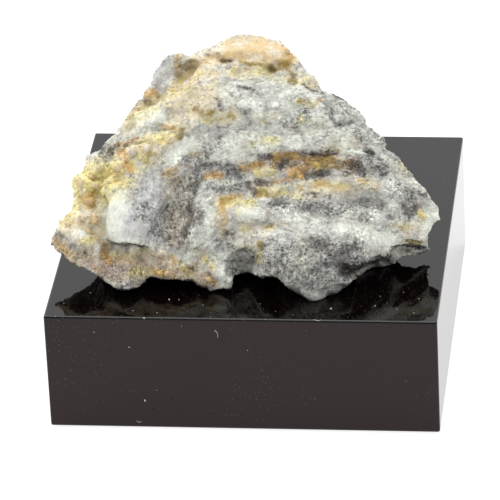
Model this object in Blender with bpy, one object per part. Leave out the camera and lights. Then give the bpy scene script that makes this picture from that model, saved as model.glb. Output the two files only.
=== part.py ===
"""A banded, siderite-bearing stone at rest on a square block of polished black acrylic.

Metres, +Z up. The origin is the centre of the block's underside, and -Y is the front.

The stone is lofted in a leaning frame of its own: a runs to the right along its broad
broken face, b runs up along that face, and w stands out of it, all in millimetres.
The frame's lines fan out from a point FACE_REACH in front of the face, so RIM is the
outline that the stone shows from there.
"""

import math

import bmesh
import bpy
from mathutils import Matrix, Vector, noise

MM = 0.001

# Driving dimensions, in millimetres
BLOCK_SIDE = 30.0
BLOCK_HEIGHT = 9.7
BLOCK_ARRIS = 0.15
REST_GAP = 0.3

# The stone's leaning frame
FACE_RISE = math.radians(29.03)
FACE_TURN = math.radians(7.32)
FACE_ROLL = math.radians(2.77)
FACE_ORIGIN = Vector((-0.3, -4.23, BLOCK_HEIGHT))
FACE_REACH = 373.9

# The stone's outline, anticlockwise from the left tip by way of the top, as (a, b)
RIM = [
    (-15.6, 0.5), (-15.3, 1.2), (-14.8, 2.2), (-13.9, 3.0), (-13.5, 4.2), (-13.8, 5.3),
    (-12.9, 6.1), (-12.6, 7.3), (-11.7, 7.7), (-11.2, 8.5), (-10.5, 9.1), (-9.7, 10.2),
    (-8.8, 11.4), (-7.8, 12.4), (-7.6, 13.1), (-6.9, 14.4), (-6.5, 15.0), (-5.7, 15.2),
    (-4.7, 15.0), (-3.8, 15.4), (-2.0, 16.2), (-1.5, 16.5), (-0.4, 16.8), (0.7, 16.7),
    (2.3, 16.2), (3.0, 15.6), (3.7, 15.0), (4.1, 14.3), (4.8, 13.7), (5.7, 12.4),
    (6.6, 12.0), (7.6, 11.5), (8.8, 10.3), (9.1, 9.6), (10.3, 8.7), (10.5, 7.8),
    (11.1, 7.5), (12.3, 6.2), (13.0, 5.4), (13.7, 4.5), (14.6, 3.3), (14.4, 2.3),
    (14.0, 1.8), (14.1, 1.6), (13.8, 1.3), (13.8, 0.3), (14.3, 0.0), (14.3, -0.2),
    (13.7, -0.4), (11.8, -0.5), (11.0, -1.3), (9.3, -1.5), (8.2, -2.3), (6.4, -3.5),
    (5.2, -4.0), (4.6, -4.0), (3.8, -3.5), (2.1, -2.1), (0.7, -2.0), (-0.2, -1.7),
    (-1.4, -2.0), (-1.5, -3.0), (-3.1, -3.2), (-4.5, -2.4), (-6.8, -2.3), (-7.8, -2.1),
    (-8.6, -2.9), (-9.7, -3.1), (-10.7, -2.9), (-11.7, -2.1), (-13.4, -1.3), (-14.9, -0.3),
]
RIM_STEP = 0.35
LOFT_CENTRE = (-0.4, 5.4)
FACE_RINGS = 52
BACK_RINGS = 46
CHIP_SEED = 1795478164      # mathutils' vector noise, which tilts the chips, otherwise starts from the clock

# The broken face is the lowest of these planes, each (a, b, w, rise along a, rise along b)
FACE_PLANES = [
    (0.0, 5.0, 5.2, 0.02, -0.20),       # the broad banded face
    (5.2, 11.7, 3.96, -0.45, -0.60),    # the grey shoulder at the upper right
    (-7.3, 11.3, 3.8, 0.86, -0.69),     # the flank at the upper left
    (-9.5, 7.8, 4.45, 0.60, -0.35),     # the crystal flank at the lower left
    (12.0, 1.0, 5.3, -0.45, 0.0),       # the ledge at the right
    (0.0, 14.0, 3.4, 0.0, -1.10),       # the brow under the top crust
]
# The back is the highest of these, in the same form
BACK_PLANES = [
    (0.0, 5.0, -11.9, 0.04, 0.76),      # the back wall
    (3.0, 6.0, -11.2, 0.30, 0.88),      # its right half, turned a little
    (-5.0, 5.0, -9.0, -0.76, 0.08),     # the left side
    (5.0, 5.0, -7.7, 0.82, 0.05),       # the right side
    (-7.5, 13.0, -4.2, -0.60, 0.70),    # the upper left shoulder
    (9.0, 10.0, -2.8, 0.80, 0.60),      # the upper right shoulder
    (12.5, 0.0, 2.6, 0.55, -0.62),      # the overhang below the right ledge
    (-14.0, 0.0, 2.4, -0.85, -0.62),    # the overhang below the left tip
]
PLANE_BLEND = 0.45
BACK_MIDDLE = -2.0
BACK_RELIEF = 1.2
BACK_CHIPS = 0.9

# Broad lumps and hollows of the face: (a, b, half-length, half-width, turn in degrees, height)
LUMPS = [
    (0.4, 15.6, 4.2, 1.5, -8.0, 0.75),      # the top crust
    (4.9, 0.0, 6.2, 4.6, -15.0, 1.9),       # the bulge at the lower right
    (-6.4, 13.3, 1.6, 2.2, -20.0, -1.3),    # the hollow behind the left ridge
    (-4.6, 14.0, 1.5, 0.8, 25.0, -0.9),     # the pit beside the crust
    (-9.6, 2.6, 2.4, 3.2, 20.0, 0.95),      # the white slab
    (-5.8, 3.4, 1.9, 3.2, 5.0, -0.4),       # the grey hollow beside the slab
    (-3.2, 2.2, 1.0, 3.2, -12.0, 0.5),      # the white rib
    (-0.3, -1.2, 1.5, 1.6, 10.0, -1.9),     # the recess between the two feet
    (2.0, 7.0, 6.5, 1.0, 5.0, -0.4),        # the dark groove of the main band
    (8.2, 4.9, 4.6, 1.1, -22.0, 0.45),      # the swell below it
    (1.5, 3.2, 4.5, 0.9, 12.0, 0.4),
    (-2.6, 10.6, 3.6, 1.2, 22.0, 0.4),
    (-12.9, 5.0, 1.3, 1.0, 60.0, 0.5),      # knobs of the crystal flank
    (-12.4, 2.6, 1.1, 0.9, 10.0, 0.55),
    (-11.6, 6.4, 1.1, 0.8, 40.0, 0.45),
    (-13.6, 0.7, 1.5, 0.9, -20.0, 0.4),
    (-8.2, 10.0, 1.0, 0.8, 50.0, 0.4),
    (-11.4, 8.0, 0.9, 0.6, 45.0, -0.5),     # the notch at the flank's top
    (12.9, 1.1, 1.1, 0.9, 30.0, 0.5),       # the white spur
    (10.6, 9.0, 1.7, 1.2, -40.0, 0.4),
]

# Scarps: the face drops by so much on the right-hand side of the line p to q, and comes
# back to level over the reach
SCARPS = [
    ((-4.3, 14.5), (-9.3, 8.3), 0.9, 3.4),      # off the ridge, onto the upper left flank
    ((-9.3, 8.3), (-11.3, 4.6), 0.6, 2.0),
    ((-11.2, 4.4), (-11.2, 0.6), 0.8, 2.2),     # the slab's left edge
    ((-11.4, 0.5), (-7.6, 0.1), 1.2, 6.0),      # the slab's lower edge
    ((-7.6, 0.1), (-1.6, -0.9), 0.6, 5.0),
    ((7.4, -1.6), (10.4, -0.2), 2.6, 5.0),      # under the face at the lower right
    ((10.4, -0.2), (14.6, 0.25), 1.4, 4.0),
    ((-3.4, 14.6), (0.6, 14.1), 0.5, 2.2),      # the lip of the top crust
    ((0.6, 14.0), (3.9, 14.4), 0.35, 2.2),
]
SCARP_WIDTH = 0.3
SCARP_WAVER = 1.1

# The stone's layers arch round a point below the face, steeply on the left and hardly at
# all on the right, and lean back into the stone
ARCH_CENTRE = (1.0, -4.0)
ARCH_LEFT = 1.09
ARCH_RIGHT = 0.35
LAYER_LEAN = 0.25
FACET_BLEND = 0.35
CHIP_SHIFT = Vector((3.0, 0.0, 0.0))

TRIANGLES = 8800


def face_axes():
    """The leaning frame's right, up and outward axes."""
    out = Vector((
        math.sin(FACE_TURN) * math.cos(FACE_RISE),
        -math.cos(FACE_TURN) * math.cos(FACE_RISE),
        math.sin(FACE_RISE),
    ))
    level = Vector((0.0, 0.0, 1.0)).cross(out).normalized()
    right = Matrix.Rotation(-FACE_ROLL, 3, out) @ level
    return right, out.cross(right), out


RIGHT, UP, OUT = face_axes()


def placed(a, b, w):
    """The point of the leaning frame, in millimetres in the part's frame."""
    fan = 1.0 - w / FACE_REACH
    return FACE_ORIGIN + (RIGHT * a + UP * b) * fan + OUT * w


def w_at_height(a, b, height):
    """How far out a point at (a, b) is where it is this high above the block."""
    across = a * RIGHT.z + b * UP.z
    return (height - across) / (OUT.z - across / FACE_REACH)


def smooth(t):
    t = min(max(t, 0.0), 1.0)
    return t * t * (3.0 - 2.0 * t)


def soft_min(values, blend):
    """The least value, with the creases between planes rounded over the blend."""
    least = min(values)
    return least - blend * math.log(sum(math.exp((least - v) / blend) for v in values))


def plane_heights(planes, a, b):
    return [w + rise_a * (a - pa) + rise_b * (b - pb) for pa, pb, w, rise_a, rise_b in planes]


def lump(a, b, shape):
    centre_a, centre_b, length, width, turn, height = shape
    turn = math.radians(turn)
    along = (a - centre_a) * math.cos(turn) + (b - centre_b) * math.sin(turn)
    across = (b - centre_b) * math.cos(turn) - (a - centre_a) * math.sin(turn)
    inside = 1.0 - (along / length) ** 2 - (across / width) ** 2
    return height * max(inside, 0.0) ** 1.5


def scarp(a, b, shape):
    (pa, pb), (qa, qb), drop, reach = shape
    waver = noise.noise_vector(Vector((a * 0.55, b * 0.55, 3.0)))
    a, b = a + waver.x * SCARP_WAVER, b + waver.y * SCARP_WAVER
    length = math.hypot(qa - pa, qb - pb)
    da, db = (qa - pa) / length, (qb - pb) / length
    along = (a - pa) * da + (b - pb) * db
    below = (a - pa) * db - (b - pb) * da
    ends = smooth(along / 0.8 + 0.5) * smooth((length - along) / 0.8 + 0.5)
    return -drop * ends * smooth(below / SCARP_WIDTH + 0.5) * (1.0 - smooth(below / reach))


def layer(a, b, w):
    """Which of the stone's arched layers a point lies in, as a height in millimetres."""
    centre_a, centre_b = ARCH_CENTRE
    stretch = ARCH_RIGHT + (ARCH_LEFT - ARCH_RIGHT) * smooth((centre_a - a + 2.0) / 6.0)
    return math.hypot(stretch * (a - centre_a), b - centre_b) + centre_b + LAYER_LEAN * w


def facets(point, size):
    """Flat chips about size across, each tilted its own way, from -1 to 1 or so."""
    near, seeds = noise.voronoi(point / size)
    total = height = 0.0
    for distance, seed in zip(near, seeds):
        share = max(1.0 - (distance - near[0]) / FACET_BLEND, 0.0) ** 2
        tilt = noise.noise_vector(seed * 7.3) * 2.0
        height += share * ((point / size - seed).dot(tilt) + noise.noise(seed * 5.1))
        total += share
    return height / total


def relief(a, b, w, coarse):
    """Chips of several sizes and ledges along the layers, in millimetres."""
    height = layer(a, b, w)
    point = Vector((a, b, w))
    along = Vector((a * 0.6, height, w * 0.6))
    ledges = noise.noise(Vector((a * 0.14, height * 0.8, w * 0.14 + 7.0)))
    chips = coarse * facets(point + CHIP_SHIFT, 7.0)
    chips += 0.50 * facets(along, 4.6)
    chips += 0.34 * facets(along - CHIP_SHIFT, 2.1)
    chips += 0.13 * facets(point, 1.0)
    return chips + 0.30 * ledges


def face_height(a, b):
    w = soft_min(plane_heights(FACE_PLANES, a, b), PLANE_BLEND)
    w += sum(lump(a, b, shape) for shape in LUMPS)
    w += sum(scarp(a, b, shape) for shape in SCARPS)
    return w + relief(a, b, 0.0, 0.0)


def back_height(a, b):
    planes = plane_heights(BACK_PLANES, a, b)
    return -soft_min([-w for w in planes], PLANE_BLEND)


def rim_points():
    """The outline as points about RIM_STEP apart."""
    points = []
    for (a, b), (next_a, next_b) in zip(RIM, RIM[1:] + RIM[:1]):
        steps = max(1, round(math.hypot(next_a - a, next_b - b) / RIM_STEP))
        for i in range(steps):
            t = i / steps
            points.append((a + (next_a - a) * t, b + (next_b - b) * t))
    return points


def rim_height(a, b):
    """The face's height at the outline, kept clear of the block."""
    return max(face_height(a, b), w_at_height(a, b, REST_GAP))


def face_point(a, b, share):
    """A point of the face, share of the way from the loft's centre to (a, b) on the outline."""
    centre_a, centre_b = LOFT_CENTRE
    at_a = centre_a + (a - centre_a) * share
    at_b = centre_b + (b - centre_b) * share
    lift = (rim_height(a, b) - face_height(a, b)) * smooth((share - 0.8) / 0.2)
    w = max(face_height(at_a, at_b) + lift, w_at_height(at_a, at_b, REST_GAP))
    return placed(at_a, at_b, w)


def rested(point, share):
    """Keeps a point above the block, hollowing the underside between the places it rests on."""
    hollow = 1.6 * noise.noise(Vector((point.x * 0.22, point.y * 0.22, 4.0))) + 0.1
    lowest = BLOCK_HEIGHT + REST_GAP + max(hollow, 0.0) * smooth(share * 2.5)
    return Vector((point.x, point.y, max(point.z, lowest)))


def back_point(a, b, share):
    """A point of the sides and back, share of the way round from (a, b) on the outline."""
    start, end = share ** 1.6, (1.0 - share) ** 2.4
    angle = start / (start + end) * math.pi / 2.0
    depth = math.sin(angle) ** 0.6
    spread = max(math.cos(angle), 0.0) ** 0.35 * (1.0 - 0.08 * depth)
    centre_a, centre_b = LOFT_CENTRE
    at_a = centre_a + (a - centre_a) * spread
    at_b = centre_b + (b - centre_b) * spread
    rim_w = rim_height(a, b)
    w = rim_w + (back_height(at_a, at_b) - rim_w) * depth
    point = placed(at_a, at_b, w)
    away = (point - placed(centre_a, centre_b, BACK_MIDDLE)).normalized()
    push = relief(at_a, at_b, w, BACK_CHIPS) * BACK_RELIEF * smooth(share * 5.0)
    room = (1.0 - spread) * math.hypot(a - centre_a, b - centre_b)
    return rested(point + away * min(push, room), share)


def stone_mesh():
    """The stone as one closed loft: face rings, the outline, then side and back rings."""
    rim = rim_points()
    mesh = bmesh.new()
    rings = [[mesh.verts.new(face_point(*LOFT_CENTRE, 0.0))]]
    for i in range(1, FACE_RINGS + 1):
        rings.append([mesh.verts.new(face_point(a, b, i / FACE_RINGS)) for a, b in rim])
    for i in range(1, BACK_RINGS):
        rings.append([mesh.verts.new(back_point(a, b, i / BACK_RINGS)) for a, b in rim])
    rings.append([mesh.verts.new(back_point(*LOFT_CENTRE, 1.0))])
    for inner, outer in zip(rings, rings[1:]):
        join_rings(mesh, inner, outer)
    bmesh.ops.triangulate(mesh, faces=mesh.faces[:])
    bmesh.ops.recalc_face_normals(mesh, faces=mesh.faces[:])
    bmesh.ops.scale(mesh, vec=(MM, MM, MM), verts=mesh.verts[:])
    data = bpy.data.meshes.new("stone")
    mesh.to_mesh(data)
    mesh.free()
    return data


def join_rings(mesh, inner, outer):
    """Faces between two rings of vertices, either of which may be a single point."""
    count = max(len(inner), len(outer))
    for i in range(count):
        j = (i + 1) % count
        corners = [inner[i % len(inner)], outer[i % len(outer)],
                   outer[j % len(outer)], inner[j % len(inner)]]
        mesh.faces.new(list(dict.fromkeys(corners)))


def material(name, colour, roughness):
    made = bpy.data.materials.new(name)
    made.use_nodes = True
    shader = made.node_tree.nodes["Principled BSDF"]
    shader.inputs["Base Color"].default_value = (*colour, 1.0)
    shader.inputs["Roughness"].default_value = roughness
    return made


def add_object(name, data, finish):
    made = bpy.data.objects.new(name, data)
    made.data.materials.append(finish)
    bpy.context.scene.collection.objects.link(made)
    return made


def add_stone():
    stone = add_object("stone", stone_mesh(), material("stone", (0.60, 0.61, 0.57), 0.8))
    thin = stone.modifiers.new("thin", "DECIMATE")
    thin.ratio = TRIANGLES / len(stone.data.polygons)
    return stone


def add_block():
    """The square display block, its edges just broken by the polish."""
    size = (BLOCK_SIDE * MM, BLOCK_SIDE * MM, BLOCK_HEIGHT * MM)
    mesh = bmesh.new()
    bmesh.ops.create_cube(mesh, size=1.0)
    bmesh.ops.scale(mesh, vec=size, verts=mesh.verts[:])
    data = bpy.data.meshes.new("display_block")
    mesh.to_mesh(data)
    mesh.free()
    block = add_object("display_block", data, material("black_acrylic", (0.006, 0.004, 0.004), 0.03))
    block.location.z = BLOCK_HEIGHT * MM / 2.0
    arris = block.modifiers.new("arris", "BEVEL")
    arris.width = BLOCK_ARRIS * MM
    arris.segments = 2
    return block


def main():
    for old in list(bpy.data.objects):
        bpy.data.objects.remove(old)
    noise.seed_set(CHIP_SEED)
    add_stone()
    add_block()


main()
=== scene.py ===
"""The looks of a banded siderite-bearing stone on a block of polished black acrylic.

The object's lengths are in millimetres until each mesh is scaled to metres; the studio's
are in metres, and a texture's scale is per metre. The stone's face is described in the
leaning frame of its solid: a runs to the right along the face, b up along it, and w out
of it. Lines that run along w meet where the camera stands.
"""

import math

import bmesh
import bpy
import numpy as np
from mathutils import Matrix, Vector, noise


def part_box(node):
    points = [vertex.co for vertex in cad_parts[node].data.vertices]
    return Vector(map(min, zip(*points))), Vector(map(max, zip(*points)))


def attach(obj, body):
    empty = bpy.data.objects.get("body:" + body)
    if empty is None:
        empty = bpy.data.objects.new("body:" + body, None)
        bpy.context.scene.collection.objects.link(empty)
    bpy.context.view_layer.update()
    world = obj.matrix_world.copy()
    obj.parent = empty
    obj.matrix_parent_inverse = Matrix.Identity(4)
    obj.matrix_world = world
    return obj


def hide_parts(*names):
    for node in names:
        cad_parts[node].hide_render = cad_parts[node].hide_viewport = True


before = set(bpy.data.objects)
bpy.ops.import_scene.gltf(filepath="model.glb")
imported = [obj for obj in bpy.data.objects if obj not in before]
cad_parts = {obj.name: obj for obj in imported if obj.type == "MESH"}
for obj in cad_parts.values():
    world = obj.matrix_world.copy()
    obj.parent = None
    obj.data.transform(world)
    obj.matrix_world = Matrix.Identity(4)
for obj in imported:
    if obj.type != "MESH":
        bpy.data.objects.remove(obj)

MM = 0.001
SEED = 20
CHIP_SEED = 23      # mathutils' vector noise, which tilts the chips, otherwise starts from the clock

# The leaning frame, as in the solid's own source
FACE_RISE = math.radians(29.03)
FACE_TURN = math.radians(7.32)
FACE_ROLL = math.radians(2.77)
FACE_ORIGIN = Vector((-0.3, -4.23, 9.7))
FACE_REACH = 373.9
# The layers arch over this centre, steep on its left and flat on its right, and lean outward
ARCH_CENTRE = (1.0, -4.0)
ARCH_LEFT = 1.09
ARCH_RIGHT = 0.35
LAYER_LEAN = 0.25

# The camera, in millimetres of its own
LENS = 347.13
SENSOR = 36.0

# The studio
FLOOR_RADIUS = 1.2
FLOOR_GAP = 0.0001
BACK_LIGHT = 1.38
FRONT_LIGHT = 0.45
FLOOR_GLOW = 0.83
TOP_POWER = 0.8
SIDE_POWER = 0.12

# The stone's fine mesh, and how its lowest places come down to the block
VOXEL = 0.142
REST_GAP = 0.3
REST_SPARE = 0.02
REST_SINK = 0.01
SETTLE_HEIGHT = 1.4
# Its relief: chips and grit by size and height, and how the layers' coordinates are stretched
BED_CHIP, BED_RELIEF = 1.3, 0.13
LARGE_CHIP, LARGE_RELIEF = 0.85, 0.09
SMALL_CHIP, SMALL_RELIEF, SUGAR_RELIEF = 0.45, 0.04, 0.05
GRIT_SCALE, GRIT_RELIEF = 4.5, 0.03
BED_ALONG, BED_ACROSS = 0.35, 1.3
BED_UP, BED_OUT = 0.25, 0.3
WAVER = 0.22
SMOOTHING = 0.85
HOLLOW_DEPTH = 0.08
SMOOTH_SHADED = 0.3

# Its crystal grains, from the smallest up
GRAINS = 9000
GRAIN_SIZE = 0.10
GRAIN_SPREAD = 0.12
STAINED_SPREAD = 0.30
GRAIN_PROUD = 0.26
GRAIN_TILT = 0.5
GRAIN_SHADE = 0.10
GRAIN_CLEAR = 0.6
# How likely grains are: anywhere, in granular stone, in stains, and how much less where it is smooth
GRAIN_ODDS = (0.55, 0.6, 0.8)
SMOOTH_BARE = 0.97
# The grains grow bigger between these places, from right to left
FLANK = (-7.0, -10.5)

# How much painted shade darkens the underside and the back, how much dark mineral is painted on the
# underside as shade, and how much of the stains the back keeps
UNDER_SHADE = 0.6
UNDER_DARK = 0.8
BACK_SHADE = 0.16
BACK_STAIN = 0.55
# How far the minerals wander from their strokes: on the face, on the back, and at the finest
FACE_WANDER = 0.16
BACK_WANDER = 2.4
FINE_WANDER = (0.2, 0.14)

# Dust on the block
TOP_DUST = 60
TOP_REACH = 7.5
FRONT_DUST = 36
FRONT_REACH = 9.0
DUST_SIZE = 0.012
DUST_SPREAD = 0.042
DUST_PROUD = 0.3
DUST_TILT = 0.5

# Colours, as 8-bit sRGB
PALE = (214, 215, 206)
GREY = (183, 183, 180)
# How much of each mineral shows at most, and its colour, from the lowest layer up
UNDERLAY = {
    "warm": (0.85, (246, 233, 190)),
    "tan": (0.85, (176, 150, 108)),
}
MINERALS = {
    "lilac": (0.6, (198, 199, 204)),
    "sugar": (0.75, (136, 136, 133)),
    "umber": (0.85, (140, 130, 114)),
    "mauve": (0.6, (178, 160, 150)),
    "beige": (0.75, (208, 196, 168)),
    "cream": (0.8, (207, 179, 130)),
    "white": (0.9, (228, 231, 219)),
    "yellow": (0.8, (229, 217, 142)),
    "ochre": (0.8, (208, 168, 98)),
    "gold": (0.85, (166, 131, 74)),
    "olive": (0.85, (146, 126, 62)),
    "rust": (0.85, (112, 92, 58)),
    "dark": (0.8, (87, 84, 83)),
}
# The fine grain breaks up these, and leaves the rest soft
GRAINY = {
    "tan": 0.6, "sugar": 1.6, "umber": 1.6, "mauve": 0.6,
    "gold": 0.6, "olive": 0.6, "rust": 1.0, "dark": 1.8,
}
SOFT = 0.2

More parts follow.
